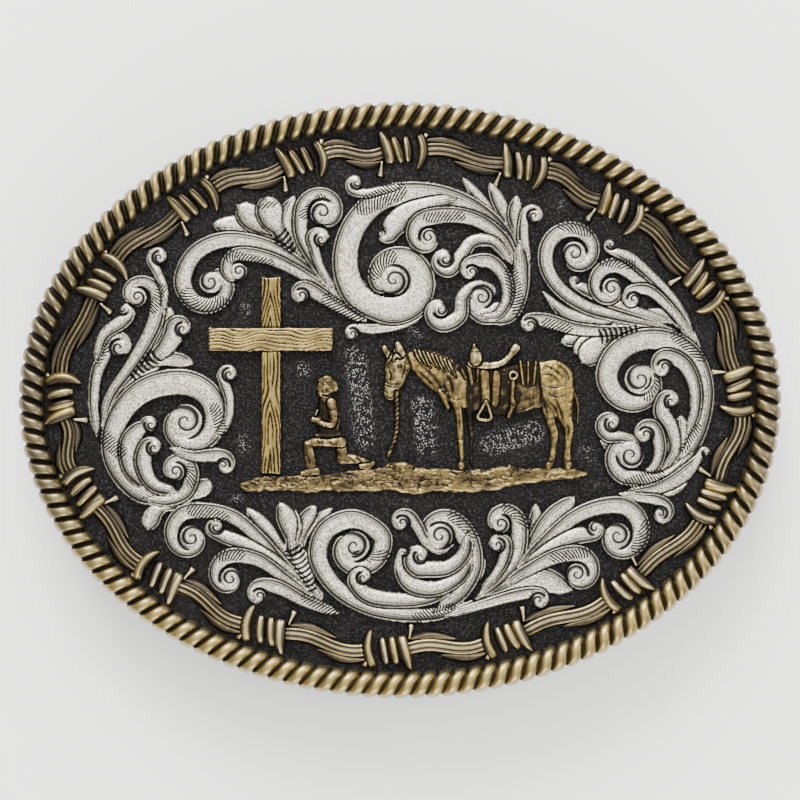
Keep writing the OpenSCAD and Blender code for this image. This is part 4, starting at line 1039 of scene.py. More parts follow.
# %% The bottom group's table
BOTTOM_CURLS = [
    [-27.6, -18.2, 1.6, 3.5, 100, 290, 1.1, 0.5, 2.3, 1.2, 0.66,
     [[-10.5, -26], [-14.8, -22.3], [-18.6, -18.2], [-22.6, -15.2]]],
    [-24.3, -16.8, 0.85, 0.95, 215, -200, 0.7, 0.5, 2.1, 0.9, 0.7,
     [[-12, -25.4], [-16.5, -21.3], [-20.5, -19.1], [-23.3, -18.1]]],
    [-22.4, -23.6, 1.4, 3.05, 85, 250, 1.1, 0.4, 2.2, 1.0, 0.6,
     [[-11, -26.6], [-15, -23.6], [-18.8, -21.1]]],
    [-18.6, -25.9, 0.85, 1.6, 80, 200, 0.8, 0.4, 2.1, 0.8, 0.6,
     [[-8, -28.2], [-12.5, -26.6], [-16, -24.8]]],
    [-6.0, -19.3, 2.0, 3.9, 20, -240, 0.7, 0.6, 2.8, 1.0, 0.62,
     [[9.5, -26.6], [5.5, -28.2], [0.5, -28.4], [-4.5, -27.3], [-8.7, -24.6], [-10.9, -20.6],
      [-9.8, -17.2], [-6.2, -15.7]]],
    [5.3, -17.95, 1.7, 2.6, 50, 220, 0.8, 0.6, 3.0, 1.0, 0.55,
     [[4.5, -28], [8, -25.5], [9.7, -22], [9.0, -18.3]]],
    [-4.9, -23.5, 0.7, 1.45, 200, -230, 0.7, 0.5, 2.4, 0.8, 0.6,
     [[8, -23.5], [4.5, -26], [0, -26.5], [-4.3, -25.8]]],
    [0.6, -20.0, 0.45, 0.5, 180, -60, 0.7, 0.8, 2.4, 0.8, 0.6,
     [[9.5, -20.5], [8, -23.3], [4.5, -25], [1.2, -24.3], [-0.2, -22.2]]],
    [2.7, -20.7, 0.8, 1.8, 290, -290, 0.7, 1.0, 2.4, 0.8, 0.6,
     [[9, -17.5], [8.5, -20.3], [6.3, -22.2]]],
    [0.3, -16.2, 0.85, 1.35, 50, 230, 0.7, 0.4, 1.8, 0.8, 0.6,
     [[7, -19.2], [5, -19.8], [3.4, -18.6], [2.4, -16.8]]],
    [13.3, -16.4, 1.2, 2.4, 10, 200, 0.7, 0.5, 2.4, 1.0, 0.6,
     [[10, -26.3], [13.5, -23.4], [15.6, -20.4]]],
    [12.9, -19.2, 0.85, 1.2, 20, 200, 0.7, 0.4, 1.8, 0.8, 0.6,
     [[10.6, -25.4], [12.6, -23.2], [13.8, -21]]],
    [28.8, -17.95, 1.7, 4.0, 75, -290, 1.05, 0.5, 2.6, 1.2, 0.66,
     [[15, -23], [19, -18.8], [23.3, -15.3], [27, -14]]],
    [25.8, -16.9, 0.9, 1.0, 270, 130, 0.7, 0.5, 2.4, 1.2, 0.66,
     [[16.5, -21.9], [20, -19.5], [23.5, -18]]],
    [23.4, -23.0, 1.4, 2.75, 95, -240, 0.85, 0.4, 2.5, 1.0, 0.66,
     [[13.5, -24.5], [17, -22.4], [20.5, -20.7]]],
    [18.3, -26.5, 0.9, 1.1, 85, -190, 0.7, 0.4, 1.8, 0.8, 0.66,
     [[6, -28.5], [11, -27], [15.3, -25.8]]],
]
BOTTOM_LEAVES = [
    [-11.1, -25.9, -12.9, -22.6, -14.0, -19.4, 3.3, 0.9],
    [-14.8, -20.4, -17.6, -17.1, -20.4, -14.3, 2.1, 0.6],
    [-13.0, -19.2, -11.5, -16.4, -8.8, -14.2, 1.5, 0.4],
    [-13.5, -19.6, -12.8, -16.4, -11.1, -13.9, 2.2, 0.6],
    [-13.9, -19.4, -13.6, -17.0, -13.9, -14.4, 1.4, 0.2],
    [-14.4, -19.8, -14.8, -16.6, -15.9, -13.5, 2.8, 0.5],
    [14.8, -22.5, 17.6, -18.0, 18.0, -13.6, 2.2, 0.6],
    [15.5, -22.3, 19.4, -16.4, 23.2, -12.8, 2.8, 0.8],
    [12, -25.6, 18.3, -23.7, 22.9, -25.2, 3.5, 0.45],
    [6, -28.3, 10.9, -22, 7.4, -14.9, 1.0, 0.1],
]
print("bottom:", len(BOTTOM_CURLS), "curls,", len(BOTTOM_LEAVES), "leaves")

# %% [markdown]
# The left group has a large coil below, and leaves and small curls that climb beside it.

# %% The left group's table
LEFT_CURLS = [
    [-28.4, -2.8, 2.27, 5.15, 90, -300, 0.85, 0.8, 3.6, 1.0, 0.56,
     [[-30, -13.9], [-35, -12.2], [-38, -8.2], [-38.1, -4], [-35.8, -0.1], [-32.6, 1.9]]],
    [-29.7, -9.5, 1.2, 2.35, -30, 250, 0.7, 0.5, 2.1, 0.8, 0.5,
     [[-34, -13], [-30.8, -13.4], [-28.4, -12.3]]],
    [-33.0, -3.3, 0.8, 0.9, 180, -160, 0.7, 0.6, 2.8, 1.2, 0.6,
     [[-33.5, -11.8], [-35.8, -9], [-36, -6], [-34.9, -4.1]]],
    [-32.6, -6.4, 0.85, 1.2, 165, -180, 0.8, 0.5, 2.5, 0.8, 0.6,
     [[-29.5, -12.2], [-32.6, -11.3], [-34, -8.8]]],
    [-23.35, -8.6, 0.75, 1.15, 75, -230, 0.7, 0.4, 2, 0.8, 0.6,
     [[-30.5, -6.4], [-27.5, -7.4], [-24.8, -7.3]]],
    [-22.6, 3.35, 0.8, 1.05, 190, -230, 0.6, 0.5, 1.6, 0.8, 0.6,
     [[-24.8, -5.2], [-22.9, -3], [-22.6, 0], [-23.2, 2]]],
    [-34.8, 13.6, 1.25, 2.7, 10, 200, 0.6, 0.6, 2.3, 0.9, 0.6,
     [[-39.6, -3.5], [-38.4, 0.5], [-36, 4], [-33.8, 7.5], [-32.3, 10.8]]],
    [-31.9, 18.85, 0.8, 1.15, 190, -230, 0.7, 0.4, 1.5, 0.8, 0.6,
     [[-31.4, 11.5], [-31.2, 14.5], [-32.2, 17]]],
    [-28.8, 9.35, 0.83, 0.9, 160, -200, 0.6, 0.6, 3.2, 0.8, 0.66,
     [[-33, 5.4], [-31.2, 6.9], [-30.1, 8.5]]],
    [-37.3, 6.9, 1.05, 1.9, 150, -200, 0.6, 0.5, 2, 1.0, 0.6,
     [[-40.2, -5], [-40.7, -0.5], [-40.3, 3.5], [-39.1, 6.5]]],
    [-36.7, 12.0, 0.55, 1.3, 300, 150, 0.7, 0.5, 2.1, 0.8, 0.6,
     [[-40.4, 5], [-39.2, 8.6], [-36.9, 10.3]]],
]
LEFT_LEAVES = [
    [-28.5, -13.2, -26.8, -12.2, -25, -10.7, 2.5, 0.9],
    [-30.0, -13.9, -32.4, -14.9, -33.6, -17.2, 2.7, 0.95],
    [-36.6, 1.8, -34.2, 4.0, -32.0, 6.4, 3.4, 0.9],
    [-33.2, 5.0, -31.9, 8.9, -30.3, 12.3, 3.0, 0.7],
    [-34, 4.3, -30.5, 5.4, -27.3, 4.9, 2.1, 0.7],
]
SCROLLS = {"top": (TOP_CURLS, TOP_LEAVES), "right": (RIGHT_CURLS, RIGHT_LEAVES),
           "bottom": (BOTTOM_CURLS, BOTTOM_LEAVES), "left": (LEFT_CURLS, LEFT_LEAVES)}
print("left:", len(LEFT_CURLS), "curls,", len(LEFT_LEAVES), "leaves")

# %% [markdown]
# A curl's line is its route and then its winding: the distance from the eye shrinks from
# the start of the winding to the eye, while the direction turns by the sweep.

# %% Lines of curls and leaves
NECK, ROOT = 1.15, 0.46            # a curl's end is this wide for its eye, its root for its body


def curl_line(row):
    """Route, then winding: distance = eye + (start - eye) * (1 - t) ^ tight."""
    ex, ey, er, turn_r, turn_at, sweep, tight, w_root, w_body, w_neck, belly, route = row
    w_neck, w_root = max(w_neck, NECK * er), max(w_root * 1.6, ROOT * w_body)
    t = np.linspace(0, 1, max(2, round(abs(sweep) / 32)) + 1)
    end = max(er - w_neck / 2, 0.1)
    r = end + (turn_r - end) * (1 - t) ** tight
    a = np.radians(turn_at + sweep * t)
    line = smooth_line(np.vstack([route, np.c_[ex + r * np.cos(a), ey + r * np.sin(a)]]), 7)
    share = run_along(line) / run_along(line)[-1]
    swell = w_root + (w_body - w_root) * np.clip(share / belly, 0, 1) ** 0.65
    slim = w_body + (w_neck - w_body) * soft_step((share - belly) / (1 - belly))
    return line, np.where(share < belly, swell, slim) / 2 * (0.25 + 0.75 * soft_step(share / 0.10))


def leaf_line(row):
    """Root to tip; the width follows a sine that a blunt leaf pushes towards its tip."""
    *points, wide, blunt = row
    line = smooth_line(np.reshape(points, (3, 2)), 9)
    share = run_along(line) / run_along(line)[-1]
    swell = np.sin(np.pi * np.clip(share, 0, 1) ** (1 + 0.9 * blunt)).clip(0) ** (0.75 - 0.3 * blunt)
    least = np.where(share < 0.6, 0.62 * (1 - share), 0.04)
    return line, wide / 2 * np.maximum(least, swell)


print("places on the top group's first curl:", len(curl_line(TOP_CURLS[0])[0]))

# %% [markdown]
# A graver leaves its own marks on each stroke: a light rim, a fine border line beside it,
# and shading lines that fade inwards. All of them keep their distance from the stroke's
# edge, so they are functions of that distance, and none has to be drawn by hand.

# %% One engraved stroke
RIM = 0.32                         # the sloping rim, from a stroke's edge to its border line


def engraved(relief, line, half, outer, height, vein=0.0, lined=0.0):
    """One stroke: a light rim, a fine border line beside it on the outer side, shading that
    fades inwards from that line, and a body that swells to its middle:
    height + crown * (1 - (away / half width)^2) - slope at the edge."""
    at = relief.around(line, float(half.max()) + 0.4)
    away, side, run, wide = line_field(relief.x[at], relief.y[at], line, half)
    inside = wide - away
    within = inside > RIM
    is_outer = 1.0 * (side * outer > 0)
    fat = np.clip((wide - 0.42) / 0.45, 0, 1)
    share = run / run_along(line)[-1]
    root = soft_step(1 - share / 0.42)
    crown = (0.08 + 0.16 * fat) * (1 - (away / np.maximum(wide, 0.05)) ** 2).clip(0)
    slope = 0.26 * (1 - inside / RIM).clip(0) ** 1.7
    border = fat * (0.25 + 0.75 * is_outer)
    groove = np.exp(-((inside - RIM) / 0.10) ** 2) * border
    middle = vein * np.exp(-(away / 0.10) ** 2) * np.clip((wide - 0.3) / 0.3, 0, 1)
    reach = np.exp(-((inside - RIM).clip(0) / (0.36 + 0.50 * fat)) ** 2) * within
    rim_shade = 0.34 * np.exp(-(inside / 0.20) ** 2) * (1 - is_outer)
    shade = fat * reach * (0.12 + 0.46 * is_outer) + rim_shade
    shade = shade + 0.17 * root * np.clip(wide / 0.6, 0, 1) * within
    lines = np.clip(1.5 * reach * is_outer * fat + 1.4 * root + lined, 0, 1) * (inside > 0.14)
    lay_over(relief, at, inside, height + crown - slope - 0.09 * groove - 0.10 * middle,
             depth=0.3 * (1 - 0.9 * root), line=0.10 * (1 - 0.70 * root),
             dark=np.clip(0.84 * groove + 0.8 * middle + shade, 0, 1), along=run,
             across=away * is_outer - away * (1 - is_outer), fine=lines)


print("border line", RIM, "mm inside a stroke's edge")

# %% [markdown]
# Every curl ends in an eye, a small button with a groove that winds into it. A sphere and a
# cut spiral could be joined to the scroll, but on the map the eye grows out of its curl.

# %% An eye
SCROLL_H, EYE_H = 0.9, 1.25        # heights over the face
EYE_TURNS = 1.7                    # turns of the groove that winds into an eye


def eye_button(relief, row, height):
    """The eye: a low dome with a fine spiral, distance = pitch * turns. The groove that
    parts it from the coil's last turn fades where the coil runs into it."""
    ex, ey, er, _, turn_at, sweep = row[:6]
    at = relief.around([[ex, ey]], er + 0.6)
    dx, dy = relief.x[at] - ex, relief.y[at] - ey
    share, a = np.hypot(dx, dy) / er, np.arctan2(dy, dx)
    inside = er - np.hypot(dx, dy)
    turn, enter = np.sign(sweep), np.radians(turn_at + sweep)
    facing = np.cos(a - enter + turn * 1.1)
    merged = soft_step((facing - 0.05) / 0.7)
    # painted shade: the dome darkens towards its rim on the side away from where the coil runs in
    shaded = 0.5 - 0.5 * facing + 0.25 * np.cos(2 * a - enter)
    turns = EYE_TURNS if er > 1.1 else EYE_TURNS - 0.4
    winding = (turns * (share ** 0.8 - 1) + turn * (a - enter) / (2 * np.pi)) % 1.0
    off_line = np.minimum(winding, 1 - winding) * er / turns
    spiral = np.exp(-(off_line / 0.11) ** 2) * soft_step(share / 0.2)
    coil = np.exp(-((1 - winding) / 0.36) ** 2)
    groove = np.exp(-((inside + 0.10) / 0.20) ** 2) * (1 - merged)
    on = inside > 0
    dome = (EYE_H - SCROLL_H) * np.sqrt(np.clip(1 - share ** 2, 0, 1))
    body = height + 0.12 * merged * share ** 2 + dome
    away = np.clip((share - 0.15) / 0.7, 0, 1)
    shade = 0.06 + 0.46 * away * np.clip(shaded, 0, 1) + 0.44 * coil
    shade = shade * soft_step((inside - 0.12) / 0.2)
    high = np.where(on, body - 0.10 * spiral, relief.high[at])
    relief.high[at] = high - 0.26 * groove * (relief.edge[at] > -0.1)
    dark = np.where(on, 0.75 * spiral + shade, relief.numbers["dark"][at])
    relief.numbers["dark"][at] = np.clip(np.maximum(dark, 1.1 * groove * (inside < 0.2)), 0, 1)
    for key, value in (("along", 0.0), ("across", inside), ("hatch", 0.0), ("fine", 0.65 * coil)):
        relief.numbers[key][at] = np.where(on, value, relief.numbers[key][at])
    relief.edge[at] = np.maximum(relief.edge[at], inside)


print("an eye stands", round(EYE_H - SCROLL_H, 2), "mm over its curl")

# %% [markdown]
# A group is built up on one map, leaves first. Patches of fine cross lines shade the stems,
# and short bars like the rungs of a ladder tie the leaves together at their root.

# %% A group of scrolls
SCROLL_STEP = 0.115                # the map's step
# The cross lines run aslant: whole pitches of the run along a stroke + slant * across it
HATCH_PITCH, HATCH_SLANT = 0.48, 0.80
# Patches of fine cross lines: from x, y to x, y and how far they reach
HATCHES = {
    "top": [[-28, 13.5, -23.5, 12.3, 1.6], [-22.5, 19.0, -17.5, 17.8, 1.1],
            [-12.7, 24.5, -10.5, 26.6, 0.9], [-4.8, 25.6, -0.3, 27.6, 1.5],
            [-3.4, 16.8, -1.3, 18.9, 1.2], [-9.5, 13.2, -5.5, 10.9, 1.2],
            [3.7, 24.1, 8.0, 24.3, 0.9], [14.7, 16.6, 15.8, 11.6, 1.2],
            [-18.5, 25.5, -16.5, 26.0, 0.6]],
    "right": [[21.5, 23.2, 25, 22.3, 1.0], [26.7, 18.3, 30.7, 17.9, 0.9],
              [19.4, 10.2, 22.2, 9.4, 0.9], [36.4, 8.6, 40.0, 5.6, 0.9],
              [32.8, 0.6, 33.8, 2.6, 1.0], [30.2, -11.2, 34.3, -9.9, 1.1],
              [37.5, -6.6, 39.4, -3.6, 0.8]],
    "bottom": [[-27.4, -14.5, -23.4, -15.6, 1.1], [-23.6, -20.6, -21.2, -20.4, 1.0],
               [-12.5, -26.2, -8.2, -28.2, 0.9], [-5.6, -20.6, -1.6, -20.6, 1.0],
               [7.0, -15.3, 9.8, -17.6, 1.0], [2.2, -28.7, 6.8, -27.4, 0.9],
               [14.0, -14.3, 17.0, -16.4, 0.9], [31.4, -19.6, 32.9, -16.6, 1.1],
               [20.4, -20.8, 24.6, -20.2, 0.9]],
    "left": [[-39.4, -4.9, -37.2, -6.9, 1.2], [-24.4, -1.2, -23.4, -4.6, 1.0],
             [-40.1, 4.9, -38.5, 7.5, 0.7], [-32.7, 12, -31.6, 14.8, 0.9],
             [-28.0, -9.0, -27.6, -11.0, 0.9]],
}
# Rows of short bars like a ladder, at a leaf's root: from x, y to x, y, how long, how many
LADDERS = {
    "top": [[-16.0, 22.0, -13.9, 19.5, 2.9, 5]],
    "right": [[26.4, 8.3, 31.6, 9.6, 2.4, 8]],
    "bottom": [[-14.2, -19.5, -11.4, -25.4, 3.0, 10]],
    "left": [[-32.3, 6.0, -35.6, 2.8, 2.6, 7]],
}


def scroll_relief(group, curls, leaves):
    """Leaves first, then the curls over them, then the eyes, the cross lines and bars."""
    routes = [point for row in curls for point in row[-1]]
    eyes = [(row[0] + way * (row[3] + 2), row[1] + way * (row[3] + 2))
            for row in curls for way in (-1, 1)]
    tips = [point for row in leaves for point in np.reshape(row[:6], (3, 2))]
    every = np.array([*routes, *eyes, *tips])
    relief = Relief((*(every.min(axis=0) - 2), *(every.max(axis=0) + 2)), SCROLL_STEP)
    for row in leaves:
        line, half = leaf_line(row)
        veined = row[6] > 1.5 and row[7] < 0.5
        engraved(relief, line, half, 1.0, SCROLL_H - 0.10, vein=0.6 * veined, lined=0.32)
    for row in curls:
        line, half = curl_line(row)
        engraved(relief, line, half, -np.sign(row[5]), SCROLL_H)
    for row in curls:
        eye_button(relief, row, SCROLL_H)
    for x0, y0, x1, y1, reach in HATCHES[group]:
        at = relief.around([[x0, y0], [x1, y1]], reach + 0.3)
        away = line_field(relief.x[at], relief.y[at], np.array([[x0, y0], [x1, y1]]))[0]
        relief.numbers["hatch"][at] = np.maximum(relief.numbers["hatch"][at],
                                                 soft_step((reach - away) / 0.35))
        relief.numbers["fine"][at] *= 1 - relief.numbers["hatch"][at]
    for x0, y0, x1, y1, long, count in LADDERS[group]:
        at = relief.around([[x0, y0], [x1, y1]], long)
        way = np.array([x1 - x0, y1 - y0])
        size = np.hypot(*way)
        u = ((relief.x[at] - x0) * way[0] + (relief.y[at] - y0) * way[1]) / size
        v = (-(relief.x[at] - x0) * way[1] + (relief.y[at] - y0) * way[0]) / size
        bars = np.exp(-((((u + 0.25 * v ** 2) / size * count) % 1.0 - 0.5) / 0.24) ** 2)
        inside = long / 2 * (1 - 0.55 * u / size) - np.abs(v)
        bars = bars * soft_step(inside / 0.3) * (u > 0) * (u < size)
        carve(relief, at, 0.20 * bars, bars)
    run = relief.numbers["along"] + HATCH_SLANT * relief.numbers["across"]
    lines = np.cos(2 * np.pi * run / HATCH_PITCH)
    carve(relief, np.s_[:, :], 0.07 * np.clip(lines, 0, 1) ** 2 * relief.numbers["hatch"])
    settle_patina(relief, 6, 0.9)
    return relief


print("patches of cross lines:", sum(len(rows) for rows in HATCHES.values()))

# %% [markdown]
# The scrolls are silver, dulled and rubbed: pale and warm on the raised faces, nearly black
# in every line. The darkness comes from the map's own number, broken up by fine noise, and
# the cross lines are drawn from the run along each stroke, so they follow it. Cut in the
# mesh alone, lines so fine would need a far finer grid.

# %% Engraved silver
SILVER_PALE, SILVER_SPECK = (0.78, 0.742, 0.60, 1), (0.150, 0.142, 0.116, 1)
SILVER_CLOUD, SILVER_BLACK = (0.38, 0.365, 0.31, 1), (0.010, 0.0098, 0.0092, 1)
STRIPE = 0.32                      # between the fine lines along a shaded edge, mm
silver, tree, shader = start_finish("engraved_silver", Metallic=0.92)
speck = grain(tree, 4300.0, 2.0, 0.75)
cloud = grain(tree, 520.0, 3.0, 0.6)
aslant = calc(tree, "ADD", number(tree, "along"), times(tree, number(tree, "across"), HATCH_SLANT))
hatch_lines = times(tree, band_of(tree, waves_of(tree, aslant, HATCH_PITCH), -0.40, 0.15),
                    number(tree, "hatch"))
stripes = band_of(tree, waves_of(tree, number(tree, "across"), STRIPE), 0.0, 0.7)
fine_lines = times(tree, stripes, times(tree, number(tree, "fine"), 0.72))
ink = calc(tree, "MAXIMUM", calc(tree, "ADD", number(tree, "dark"), swing(tree, speck, 0.85)),
           calc(tree, "MAXIMUM", hatch_lines, fine_lines))
dark = band_of(tree, ink, 0.16, 0.84)
pale = blend_of(tree, band_of(tree, speck, 0.41, 0.59), SILVER_SPECK, SILVER_PALE)
pale = blend_of(tree, band_of(tree, cloud, 0.35, 0.75, 0.0, 0.18), pale, SILVER_CLOUD)
feed(shader, Base_Color=blend_of(tree, dark, pale, SILVER_BLACK),
     Roughness=band_of(tree, calc(tree, "ADD", speck, dark), 0.2, 1.4, 0.36, 0.62))
roughen(tree, shader, calc(tree, "SUBTRACT", speck, dark), 0.000035, 0.6)
print("silver finish:", len(tree.nodes), "nodes")

# %% [markdown]
# The four groups are separate castings, soldered on, so each becomes a piece of its own.

# %% The four scroll pieces
SCROLL_LEAST = 0.3                 # the castings are nowhere thinner
for group, (curls, leaves) in SCROLLS.items():
    piece("scrollwork_" + group, [shell(scroll_relief(group, curls, leaves), SCROLL_LEAST)], silver,
          "engraved_silver", "scroll_" + group)

# %% [markdown]
# The middle scene is cast brass: two beams of rough timber, a strip of stony earth, a
# kneeling rider and a saddled horse. Sculpting would be the usual way, but the same kind of
# map serves. Round forms are limbs: a line with a width and a height at each point, domed
# across, melted into their neighbours or laid over them. Fine lines are scored in afterwards.

# %% Limbs and scores
def limb(relief, points, over=False, soft=0.22, low=0.5, **numbers):
    """A domed limb through rows of x, y, width, height: height times a half circle across,
    standing on a wall that is the share low of its height."""
    line = smooth_line(points, 6)
    half = line[:, 2] / 2
    at = relief.around(line, float(half.max()) + 0.5)
    away, _, _, wide, tall = line_field(relief.x[at], relief.y[at], line[:, :2], half, line[:, 3])
    dome = np.sqrt(np.clip(1 - (away / np.maximum(wide, 0.02)) ** 2, 0, 1))
    high = tall * (low + (1 - low) * dome)
    if over:
        lay_over(relief, at, wide - away, high, groove=0.13, depth=0.18, line=0.085, **numbers)
    else:
        melt_in(relief, at, wide - away, high, soft, **numbers)


def score(relief, points, wide, cut, ink):
    """A fine groove along a smooth line, fading out at both ends."""
    line = smooth_line(points, 6)
    at = relief.around(line, 3 * wide)
    away, _, run = line_field(relief.x[at], relief.y[at], line)
    share = run / run_along(line)[-1]
    mark = np.exp(-(away / wide) ** 2) * np.sin(np.pi * np.clip(share, 0.04, 0.96)) ** 0.4
    carve(relief, at, cut * mark, ink * mark)


def score_all(relief, lines, wide, cut, ink):
    """The same groove along many lines."""
    for line in lines:
        score(relief, line, wide, cut, ink)


print("limb and score ready")

# %% [markdown]
# The beams are rough timber with an open grain. A photograph of wood would lie flat on them;
# the grain here is cut in, and it bends round knots and nests into long wedges, as it does
# in a real board.

# %% Timber
GRAIN_PITCH, GRAIN_WARP = 0.50, 0.20   # between the wood's grain lines, and how far they stray


def timber(relief, box, height, seed, wedges=(), knots=()):
    """A rough beam: a flat top with worn edges, made paler by rubbing and painted highlight,
    and grain lines that follow its length. The lines are where a warped measure across the
    beam passes whole numbers. Each wedge (y of its tip, its length, its spread per mm) nests
    them into an inverted V, and each knot (place along, place across, size) pushes them apart."""
    x0, y0, x1, y1 = box
    at = relief.window([x0 - 0.5, y0 - 0.5, x1 + 0.5, y1 + 0.5])
    x, y = relief.x[at], relief.y[at]
    inside = np.minimum(np.minimum(x - x0, x1 - x), np.minimum(y - y0, y1 - y))
    inside = inside + 0.05 * ripple(x, y, seed, 1.3)
    if y1 - y0 > x1 - x0:
        along, across = y, x - (x0 + x1) / 2
        warp, whole, shade, rubbed_highlight = GRAIN_WARP, 0.90, 0.14, 0.0
    else:
        along, across = x, y - (y0 + y1) / 2
        warp, whole, shade = 1.7 * GRAIN_WARP, 0.82, 0.22
        # the lying beam is a little paler, most at its left end: rubbed metal and painted highlight
        rubbed_highlight = 0.08 + 0.4 * soft_step((x0 + 0.9 - x) / 0.8)
    measure = np.abs(across + 0.12) if len(wedges) else across
    for tip, long, spread in wedges:
        measure = measure - spread * np.clip(tip - along, 0, long)
    measure = measure + warp * ripple(along * 0.30, across * 0.55, seed + 1, 1.4)
    for place, off, size in knots:
        measure = measure + size * np.exp(-((along - place) / 1.7) ** 2 - ((across - off) / 0.8) ** 2)
    line = np.cos(2 * np.pi * measure / GRAIN_PITCH)
    broken = soft_step(whole + 0.9 * ripple(along * 0.35, across * 1.6, seed + 2, 1.6))
    mark = soft_step((line - 0.28) / 0.6) * broken * soft_step((inside - 0.10) / 0.15)
    pale_edge = np.clip(1 - inside / 0.30, 0, 1) ** 1.6
    blotches = 0.08 * ripple(x * 0.5, y * 0.5, seed + 3, 1.5) * (1 - pale_edge)
    # a band near each edge is paler: rubbed metal and painted highlight
    lay_over(relief, at, inside, height - 0.22 * pale_edge, groove=0.16, depth=0.2, line=0.07,
             dark=shade + blotches, fine=0.30 * np.exp(-((inside - 0.12) / 0.14) ** 2) + rubbed_highlight)
    carve(relief, at, np.where(inside > 0, 0.15 * mark, 0.0), np.where(inside > 0, 0.9 * mark, 0.0))


print("grain lines to a beam of 3 mm:", round(3 / GRAIN_PITCH))

# %% [markdown]
# The cross: the lying beam is in front and throws a little dark on the upright.

# %% The cross
CROSS_STEP = 0.09                  # the map's step, mm
UPRIGHT, BEAM = (-18.4, -9.8, -15.7, 16.3), (-25.4, 6.4, -8.8, 9.6)
WEDGES = ((13.3, 4.0, 0.34), (1.5, 5.5, 0.17), (-6.0, 3.8, 0.12))
WOOD_KNOTS = ((-21.8, 0.5, 0.30), (-17.3, -0.6, -0.32), (-12.3, 0.4, 0.30))
cross = Relief((-26.0, -10.4, -8.2, 16.9), CROSS_STEP)
timber(cross, UPRIGHT, 1.15, 5, WEDGES)
timber(cross, BEAM, 1.5, 9, knots=WOOD_KNOTS)
settle_patina(cross, 5, 1.2)
print("cross:", int((cross.edge > 0).sum()), "places inside its outline")

# %% [markdown]
# The ground is cracked earth: a ragged top and bottom line, a nearly flat surface with low
# lumps, and thin lying cracks where a stretched ripple passes through nought. Some knobs of
# stone stand up from it, and its lower edge is smooth and paler: rubbed metal and painted highlight.

# %% The ground
GROUND_STEP = 0.10                 # the map's step, mm
GROUND_LEFT, GROUND_RIGHT = -21.3, 24.8
# Top and bottom of the strip: x, y
GROUND_TOP = [[-21.3, -11.0], [-20, -10.5], [-18, -9.9], [-16.4, -9.9], [-14, -10.0], [-11, -9.9],
              [-8, -9.5], [-5, -9.2], [-2.6, -8.9], [-1.4, -8.3], [-0.2, -8.0], [1.0, -8.1],
              [2.0, -8.8], [5, -9.0], [8, -9.2], [11, -9.2], [13.0, -8.8], [14.4, -8.5],
              [15.4, -8.9], [19, -9.1], [23, -9.0], [24.8, -9.4]]
GROUND_BOTTOM = [[-21.3, -11.6], [-20.4, -12.2], [-16, -12.0], [-13, -12.3], [-10, -12.0], [-4, -12.2],
                 [-1.5, -11.9], [2, -12.6], [5, -12.2], [8, -12.3], [12.5, -12.0], [15.5, -11.3],
                 [20, -10.7], [23.6, -10.4], [24.8, -9.9]]
# Knobs of stone: x, y, size
KNOBS = ((0.4, -9.0, 1.5), (14.3, -9.3, 1.2), (-17.0, -10.6, 1.3), (-12.0, -10.7, 1.1))
# Two sets of cracks: seed, stretch along x and y, size of their ripple, width
CRACKS = ((31, 0.55, 1.5, 1.5, 0.10), (33, 0.35, 1.6, 1.6, 0.08))


def ground_relief():
    """Height between the two lines: 0.8 + low lumps - cracks, where a crack is
    exp(-(ripple / width)^2), so it follows the places where the ripple is nought."""
    relief = Relief((-22.2, -13.4, 25.8, -7.2), GROUND_STEP)
    x, y = relief.x, relief.y
    ragged = 0.09 * ripple(x, y, 21, 1.4)
    top = np.interp(x, *np.array(GROUND_TOP).T) + ragged
    bottom = np.interp(x, *np.array(GROUND_BOTTOM).T) + ragged
    inside = np.minimum(np.minimum(top - y, y - bottom),
                        np.minimum(x - GROUND_LEFT + ragged, GROUND_RIGHT - x))
    high = 0.80 + 0.15 * ripple(x * 0.4, y, 22, 1.7) + 0.06 * ripple(x * 0.7, y * 1.3, 23, 0.8)
    for cx, cy, size in KNOBS:
        high = high + 0.25 * np.exp(-((x - cx) ** 2 + 1.6 * (y - cy) ** 2) / size ** 2)
    high = high - 0.30 * np.clip(1 - inside / 0.45, 0, 1) ** 1.5
    # the lower edge is paler: rubbed metal and painted highlight
    melt_in(relief, np.s_[:, :], inside, high, 0.02, fine=0.35 * soft_step(1 - (y - bottom) / 0.8))
    upper = soft_step((y - bottom - 0.35) / 0.5)
    crack = np.zeros(x.shape)
    for seed, stretch, flat, size, width in CRACKS:
        patchy = soft_step(0.55 + 0.9 * ripple(x * 0.6, y, seed + 10, 2.0))
        line = np.exp(-(ripple(x * stretch, y * flat, seed, size) / width) ** 2)
        crack = np.maximum(crack, line * patchy)
    crack = crack * (0.25 + 0.75 * upper) * soft_step((inside - 0.08) / 0.2)
    pits = soft_step((ripple(x, y * 1.3, 24, 0.8) - 0.50) / 0.25) * upper * (inside > 0)
    carve(relief, np.s_[:, :], 0.12 * crack + 0.06 * pits, 0.50 * crack + 0.10 * pits)
    # browner in slow blotches, darker above the pale lower edge, and darker towards the left
    brown = soft_step(ripple(x * 0.5, y, 25, 2.6) * 0.8 + 0.3)
    shade = 0.15 + 0.26 * brown + 0.18 * upper + 0.12 * soft_step((-3.0 - x) / 6.0)
    darken(relief, shade * (inside > 0))
    settle_patina(relief, 5, 2.2)
    return relief


# %% [markdown]
# The rider kneels on one knee with joined hands and bowed head. A figure in the round would
# have to be pressed flat; limbs on a map are low relief from the start. The head is only
# two millimetres high: a plain oval with an even brow, nose and chin, of no one in particular.

# %% The kneeling rider
RIDER_STEP = 0.07                  # the map's step, mm


def hammered(relief, seed, depth, shade):
    """Uneven casting: a fine ripple in the height and slow blotches of patina."""
    x, y, on = relief.x, relief.y, relief.edge > 0
    relief.high = relief.high + depth * ripple(x, y, seed, 0.6) * on
    darken(relief, shade * (1 + 1.1 * ripple(x, y, seed + 1, 1.3)) * on)


